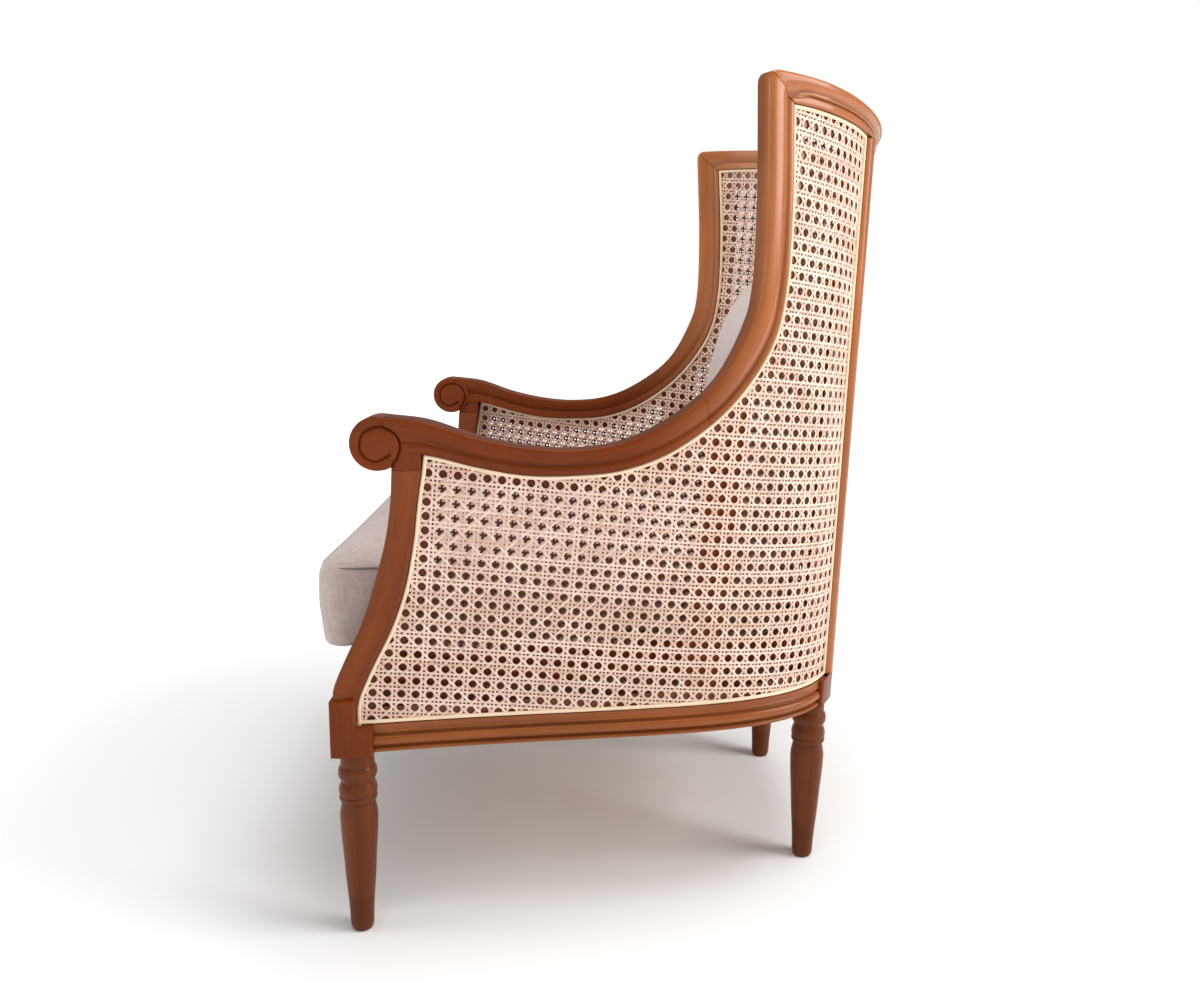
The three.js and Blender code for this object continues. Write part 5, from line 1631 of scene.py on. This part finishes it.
def even_points(line, spacing, w):
    """The closed outline cut into equal steps measured on the tub, with its corners kept."""
    closed = np.vstack([line, line[:1]])
    places = tub(closed[:, 0], closed[:, 1], w)
    length = run_lengths(places)
    ahead = unit(np.diff(places, axis=0))
    bend = np.sum(ahead * np.roll(ahead, 1, 0), 1)
    corners = np.flatnonzero(bend < math.cos(CORNER_ANGLE))
    marks = np.unique(np.concatenate([[0], length[corners], [length[-1]]]))
    steps = [np.linspace(a, b, max(2, int((b - a) / spacing) + 1))[:-1]
             for a, b in zip(marks[:-1], marks[1:])]
    return points_at(np.concatenate(steps), length, closed)


def reed_bead(name, line, w, outward):
    """A half-round section carried round the outline, set inward by half its width."""
    line = even_points(line, BEAD_STEP, w)
    places = tub(line[:, 0], line[:, 1], w)
    out = unit(tub(line[:, 0], line[:, 1], w + outward * MM) - places)
    ahead = unit(np.roll(places, -1, 0) - places)
    along = unit(ahead + np.roll(ahead, 1, 0))
    inward = unit(np.cross(out, along) * outward)
    stretch = 1 / np.clip(np.sum(along * ahead, 1), 0.6, 1)
    angle = np.linspace(0, math.pi, 9)
    across = BEAD_GAP + BEAD_HALF - BEAD_HALF * np.cos(angle)
    high = BEAD_RISE * np.sin(angle)
    foot = [(across[-1], BEAD_FOOT), (across[0], BEAD_FOOT)]
    section = np.vstack([np.column_stack([across, high]), foot])
    rings = (places[:, None] + inward[:, None] * (section[:, :1] * stretch[:, None, None])
             + out[:, None] * section[:, 1:])
    return swept(name, rings, run_lengths(places), section[:, 0], True, 50, tone=0.5)


for layer, w, outward in BEAD_LAYERS:
    bead = reed_bead(f"side_reed_{layer}", side_line, w, outward)
    finish_pair(f"side_reed_{layer}", bead, reed, f"side_bead_{layer}")
    bead = reed_bead(f"back_reed_{layer}", back_line, w, outward)
    finish_piece(f"back_reed_{layer}", bead, reed, [f"back_bead_{layer}"])

# %% [markdown]
# Cushions are sewn covers blown up by their filling. Each starts as a closed form a little under
# its size, is remeshed evenly, and cloth simulation with inner pressure rounds and wrinkles it.
# The seams are held still, so that the panels swell between them.

# %% Cushion tools
VOXEL = 6 * MM
HOLD_STEPS = 0.35, 0.7, 1.0


def simulated(name, mesh, pressure, cap, held, frames=20, stiffness=8.0):
    """Even remesh, then pressure from inside. Points may move at most cap; held(points) gives 1 on
    seams. Returns the finished mesh."""
    source = new_object(f"{name}_source", mesh)
    remesh = source.modifiers.new("even", "REMESH")
    remesh.mode = "VOXEL"
    remesh.voxel_size = VOXEL
    remesh.use_smooth_shade = True
    graph = bpy.context.evaluated_depsgraph_get()
    even = bpy.data.meshes.new_from_object(source.evaluated_get(graph))
    bpy.data.objects.remove(source)
    soft = new_object(name + "_soft", even)
    start = coordinates(even)
    weight = held(start)
    seam = soft.vertex_groups.new(name="seam")
    for level in HOLD_STEPS:
        picked = np.flatnonzero((weight > level - HOLD_STEPS[0]) & (weight <= level))
        seam.add(picked.tolist(), level, "REPLACE")
    dress = soft.modifiers.new("cloth", "CLOTH")
    settings = dress.settings
    for key, value in {
            "quality": 6, "mass": 0.25, "tension_stiffness": stiffness,
            "compression_stiffness": stiffness, "shear_stiffness": stiffness * 0.6,
            "bending_stiffness": 0.4, "use_pressure": True, "uniform_pressure_force": pressure,
            "vertex_group_mass": "seam"}.items():
        setattr(settings, key, value)
    settings.effector_weights.gravity = 0
    dress.point_cache.frame_start = 1
    dress.point_cache.frame_end = frames
    for number in range(1, frames + 1):
        scene.frame_set(number)
    graph = bpy.context.evaluated_depsgraph_get()
    blown = soft.evaluated_get(graph).to_mesh()
    moved = coordinates(blown) - start
    soft.evaluated_get(graph).to_mesh_clear()
    far = np.linalg.norm(moved, axis=1, keepdims=True)
    start = start + moved * np.minimum(1, cap / np.maximum(far, 1e-9))
    soft.modifiers.clear()
    scene.frame_set(1)
    even.vertices.foreach_set("co", start.astype(np.float32).ravel())
    even.update()
    bpy.data.objects.remove(soft)
    even.shade_smooth()
    print(name, "points:", len(start))
    return even


def subdivided(piece, levels=1):
    """Rounds the cloth's facets by one level of subdivision."""
    step = piece.modifiers.new("finer", "SUBSURF")
    step.levels = step.render_levels = levels


def shell(name, rings, low_point, high_point):
    """Closed form from rings of equal count between two end points."""
    rows, columns = rings.shape[:2]
    points = np.vstack([rings.reshape(-1, 3), [low_point, high_point]])
    quads = grid_faces(rows, columns, False, True)
    k = np.arange(columns)
    fans = [(rows * columns, int(b), int(a)) for a, b in zip(k, (k + 1) % columns)]
    last = (rows - 1) * columns
    fans += [(rows * columns + 1, int(last + a), int(last + b)) for a, b in zip(k, (k + 1) % columns)]
    return mesh_from(name, points, quads, fans)


# %% [markdown]
# The seat cushion follows the tub's plan at a distance and is square in front. It is a boxed
# cushion: a top and a bottom panel joined by an upright border, with a corded seam at each.

# %% Seat cushion
SEAM_Z = 436 * MM
SEAT_BOTTOM = 343.3 * MM
SEAT_CROWN, SEAT_FRONT, SEAT_INSET = 27 * MM, -300 * MM, 50 * MM
SEAT_DROOP, PLATFORM_FRONT = 4 * MM, -239.7 * MM
SEAT_PULL, SEAT_CORNER = 5 * MM, 30 * MM
LOWER_SEAM = SEAT_BOTTOM + 1.5 * MM
SEAT_PRESSURE, SEAT_SWELL = 3.0, 12 * MM


def seat_outline(count):
    """Plan of the cushion as evenly spaced points with their outward directions."""
    start = float(u_at_depth(SEAT_FRONT + SEAT_CORNER, SEAM_Z))
    share = np.linspace(0, 1, 200)
    drawn = SEAT_PULL * np.sin(np.pi * np.clip(np.minimum(share, 1 - share) * 4, 0, 1))
    side = tub(start + (2 - 2 * start) * share, SEAM_Z, -SEAT_INSET - drawn)[:, :2] - (0, SHIFT)
    half = abs(side[0, 0])

    def arc(a, b, c):
        """Quadratic curve from a to c, drawn towards b, without its first point."""
        t = np.linspace(0, 1, 20)[1:, None]
        return (1 - t) ** 2 * a + 2 * t * (1 - t) * b + t ** 2 * c

    left = np.array([-half + SEAT_CORNER, SEAT_FRONT])
    right = -left * (1, -1)
    line = np.vstack([side, arc(side[-1], np.array([-half, SEAT_FRONT]), left),
                      arc(left, np.array([0, SEAT_FRONT + SEAT_PULL]), right),
                      arc(right, np.array([half, SEAT_FRONT]), side[0])[:-1]])
    closed = np.vstack([line, line[:1]])
    length = run_lengths(closed)
    places = points_at(np.arange(count) / count * length[-1], length, closed)
    ahead = unit(np.roll(places, -1, 0) - np.roll(places, 1, 0))
    return places + (0, SHIFT), np.column_stack([ahead[:, 1], -ahead[:, 0]])


seat_line, seat_out = seat_outline(260)
seat_middle = np.array([0, (SEAT_FRONT + LOW[4] - SEAT_INSET) / 2 + SHIFT])


def seat_form():
    """Rings of the plan: height, share of the plan's size and outward swell of each."""
    border = SEAM_Z - SEAT_BOTTOM
    levels = [(0, 0.35, 0), (0, 0.7, 0), (0, 0.97, -2), (0.02, 1, -5), (0.05, 1, -4.5),
              (0.2, 1, -2), (0.5, 1, 1), (0.8, 1, 1), (0.97, 1, -0.5)]
    rings = [(SEAT_BOTTOM + k * border, scale, out * MM) for k, scale, out in levels]
    rings += [(SEAM_Z + SEAT_CROWN * k, scale, 0) for k, scale in (
        (0.0, 0.995), (0.28, 0.97), (0.46, 0.93), (0.6, 0.86), (0.68, 0.7), (0.72, 0.5), (0.74, 0.25))]
    made = []
    for z, scale, out in rings:
        plan = seat_middle + (seat_line - seat_middle) * scale + seat_out * out
        ahead = smooth(PLATFORM_FRONT + SHIFT - plan[:, 1], 0, 30 * MM)
        sag = SEAT_DROOP * ahead * smooth(z, SEAM_Z, SEAT_BOTTOM)
        made.append(np.column_stack([plan, z - sag]))
    return shell("seat_form", np.array(made), (*seat_middle, SEAT_BOTTOM),
                 (*seat_middle, SEAM_Z + SEAT_CROWN * 0.75))


def seat_seams(points):
    """1 near the two corded seams, falling to 0 over a few millimetres; the underside is held too."""
    to_line = np.min(np.linalg.norm(points[:, None, :2] - seat_line[None, ::4], axis=2), axis=1)
    seam_gap = np.minimum(np.abs(points[:, 2] - SEAM_Z), np.abs(points[:, 2] - LOWER_SEAM))
    near = 1 - smooth(np.hypot(seam_gap, np.maximum(0, to_line - 4 * MM)), 3 * MM, 9 * MM)
    under = points[:, 2] < SEAT_BOTTOM + 2 * MM
    return np.maximum(near, under.astype(float))


seat_mesh = simulated("seat", seat_form(), SEAT_PRESSURE, SEAT_SWELL, seat_seams)
seat_piece = finish_piece("seat_cushion_cover", seat_mesh, linen, ["seat_cushion"], "seat_cushion")
subdivided(seat_piece)

# %% [markdown]
# The cord in a seam is a thin strip of dark cloth over a string. Rays from outside find the
# cushion's surface at the seam's height, and the cord is laid on them.

# %% Seam cords
CORD_RADIUS, CORD_OUT, RAY_START = 1.3 * MM, 0.4 * MM, 50 * MM


def round_tube(name, path, radius, out, sides=10):
    """Closed tube round a closed path, with a steady outward direction."""
    ahead = unit(np.roll(path, -1, 0) - np.roll(path, 1, 0))
    out = unit(out - ahead * np.sum(out * ahead, 1)[:, None])
    across = np.cross(ahead, out)
    angle = np.arange(sides) / sides * TAU
    rings = (path[:, None] + radius * (np.cos(angle)[:, None] * out[:, None]
                                       + np.sin(angle)[:, None] * across[:, None]))
    return tube_mesh(name, rings, closed=True, crease=80)


def smoothed_closed(values, times=6):
    """Each row becomes a quarter of both neighbours and half of itself, several times over."""
    for _ in range(times):
        values = (np.roll(values, 1, 0) + 2 * values + np.roll(values, -1, 0)) / 4
    return values


def seam_cord(name, mesh, height, node_name):
    """The cord in the seam at a height. Its path is smoothed by means of neighbouring points."""
    tree = BVHTree.FromPolygons([v.co[:] for v in mesh.vertices],
                                [p.vertices[:] for p in mesh.polygons])
    path = []
    for place, out in zip(seat_line, seat_out):
        start = np.array([*(place + out * RAY_START), height])
        hit = tree.ray_cast(start.tolist(), [-out[0], -out[1], 0])[0]
        path.append(hit[:] if hit else (*place, height))
    path = smoothed_closed(np.array(path))
    out = np.column_stack([seat_out, np.zeros(len(seat_out))])
    mesh = round_tube(name, path + out * CORD_OUT, CORD_RADIUS, out)
    piece = finish_piece(name, mesh, piping_cloth, [node_name], "seat_cushion")


seam_cord("seat_cord_top", seat_mesh, SEAM_Z, "seat_piping_top")
seam_cord("seat_cord_bottom", seat_mesh, LOWER_SEAM, "seat_piping_bottom")

# %% [markdown]
# The platform under the cushion is padded and covered in plain cotton, drawn tight.

# %% Seat platform
BEARER_HEIGHT, BOARD_HEIGHT = 24 * MM, 12 * MM
PLATFORM_TOP, PLATFORM_BOTTOM = 343 * MM, RAIL_BOTTOM + BEARER_HEIGHT + BOARD_HEIGHT + 2 * PLAY
PLATFORM_CORNER, PLATFORM_INSET = 12 * MM, 41 * MM


def platform_form():
    """The plan follows the tub behind and is straight in front; rings give its soft upper edge."""
    r = PLATFORM_CORNER
    start = float(u_at_depth(PLATFORM_FRONT + r, SEAM_Z))
    side = tub(np.linspace(start, 2 - start, 160), SEAM_Z, -PLATFORM_INSET)[:, :2]
    turn = np.linspace(0, math.pi / 2, 8)[1:]
    left_arc = side[-1] + np.column_stack([r - r * np.cos(turn), -r * np.sin(turn)])
    right_arc = left_arc[::-1] * (-1, 1)
    straight = np.linspace(left_arc[-1], right_arc[0], 40)[1:-1]
    plan = np.vstack([side, left_arc, straight, right_arc])
    middle = plan.mean(0)
    rows = [(PLATFORM_BOTTOM + rise * MM, scale) for rise, scale in ((0, 0.5), (0, 0.985), (3, 1))]
    rows += [(PLATFORM_TOP - drop * MM, scale)
             for drop, scale in ((9, 1), (4, 0.992), (1.2, 0.972), (0.4, 0.9), (0.1, 0.5))]
    rings = [np.column_stack([middle + (plan - middle) * scale, np.full(len(plan), z)])
             for z, scale in rows]
    return shell("platform_form", np.array(rings), (*middle, PLATFORM_BOTTOM),
                 (*middle, PLATFORM_TOP - 0.05 * MM))


platform_piece = finish_piece("platform_cover", platform_form(), platform_cloth, ["seat_platform"],
                              "frame")

# %% [markdown]
# The back cushion stands on the seat cushion and leans into the tub. It has two crowned panels
# that meet in one seam, so its outline is a rounded square and it is fullest in the middle.

# %% Back cushion
CUSHION_HALF, CUSHION_HEIGHT = 226 * MM, 335 * MM
CUSHION_LEAN = math.radians(12)
FRONT_CROWN, REAR_CROWN = 58 * MM, 100 * MM
CUSHION_FOOT, SEAT_TOP = 205 * MM, 459.9 * MM
CORNER_POWER, CROWN_POWER = 1 / 0.16, 2.6
BACK_PRESSURE, BACK_SWELL, FORM_SHARE = 4.0, 26 * MM, 0.8


def back_place(across, up, thick):
    """Cushion sizes to the chair: up and back along the lean, from the seat's top."""
    lift = up * math.cos(CUSHION_LEAN) - thick * math.sin(CUSHION_LEAN)
    back = up * math.sin(CUSHION_LEAN) + thick * math.cos(CUSHION_LEAN)
    return np.stack(np.broadcast_arrays(across, CUSHION_FOOT + SHIFT + back,
                                        SEAT_TOP + PLAY + lift), -1)


def back_form(shrink=0.985):
    """Super-ellipse rings from the front's middle over the seam to the rear's middle."""
    angle = np.arange(180) / 180 * TAU
    c, s = np.cos(angle), np.sin(angle)
    reach = (np.abs(c) ** CORNER_POWER + np.abs(s) ** CORNER_POWER) ** (-1 / CORNER_POWER)
    shares = np.array([0.15, 0.3, 0.45, 0.6, 0.72, 0.82, 0.89, 0.94, 0.975])
    rings = []
    front, rear = [(k, -FRONT_CROWN) for k in shares], [(k, REAR_CROWN) for k in shares[::-1]]
    for share, crown in front + [(1.0, 0)] + rear:
        thick = crown * FORM_SHARE * (1 - share ** CROWN_POWER)
        rings.append(back_place(reach * c * share * CUSHION_HALF * shrink,
                                (reach * s * share * shrink + 1) * CUSHION_HEIGHT / 2, thick))
    ends = (back_place(0, CUSHION_HEIGHT / 2, crown * FORM_SHARE)
            for crown in (-FRONT_CROWN, REAR_CROWN))
    return shell("back_form", np.array(rings), *ends)


def back_seam(points):
    """Nothing is held but the seam's plane near the rim."""
    local_y, local_z = points[:, 1] - CUSHION_FOOT - SHIFT, points[:, 2] - SEAT_TOP
    thick = local_y * math.cos(CUSHION_LEAN) - local_z * math.sin(CUSHION_LEAN)
    up = local_y * math.sin(CUSHION_LEAN) + local_z * math.cos(CUSHION_LEAN)
    rim = np.maximum(np.abs(points[:, 0]) / CUSHION_HALF, np.abs(up / CUSHION_HEIGHT * 2 - 1))
    return (1 - smooth(np.abs(thick), 3 * MM, 8 * MM)) * smooth(rim, 0.93, 0.97)


back_mesh = simulated("back", back_form(), BACK_PRESSURE, BACK_SWELL, back_seam)
back_piece = finish_piece("back_cushion_cover", back_mesh, linen, ["back_cushion"], "back_cushion")
subdivided(back_piece)

# %% [markdown]
# Last, the view layer is brought up to date.

# %% End
bpy.context.view_layer.update()
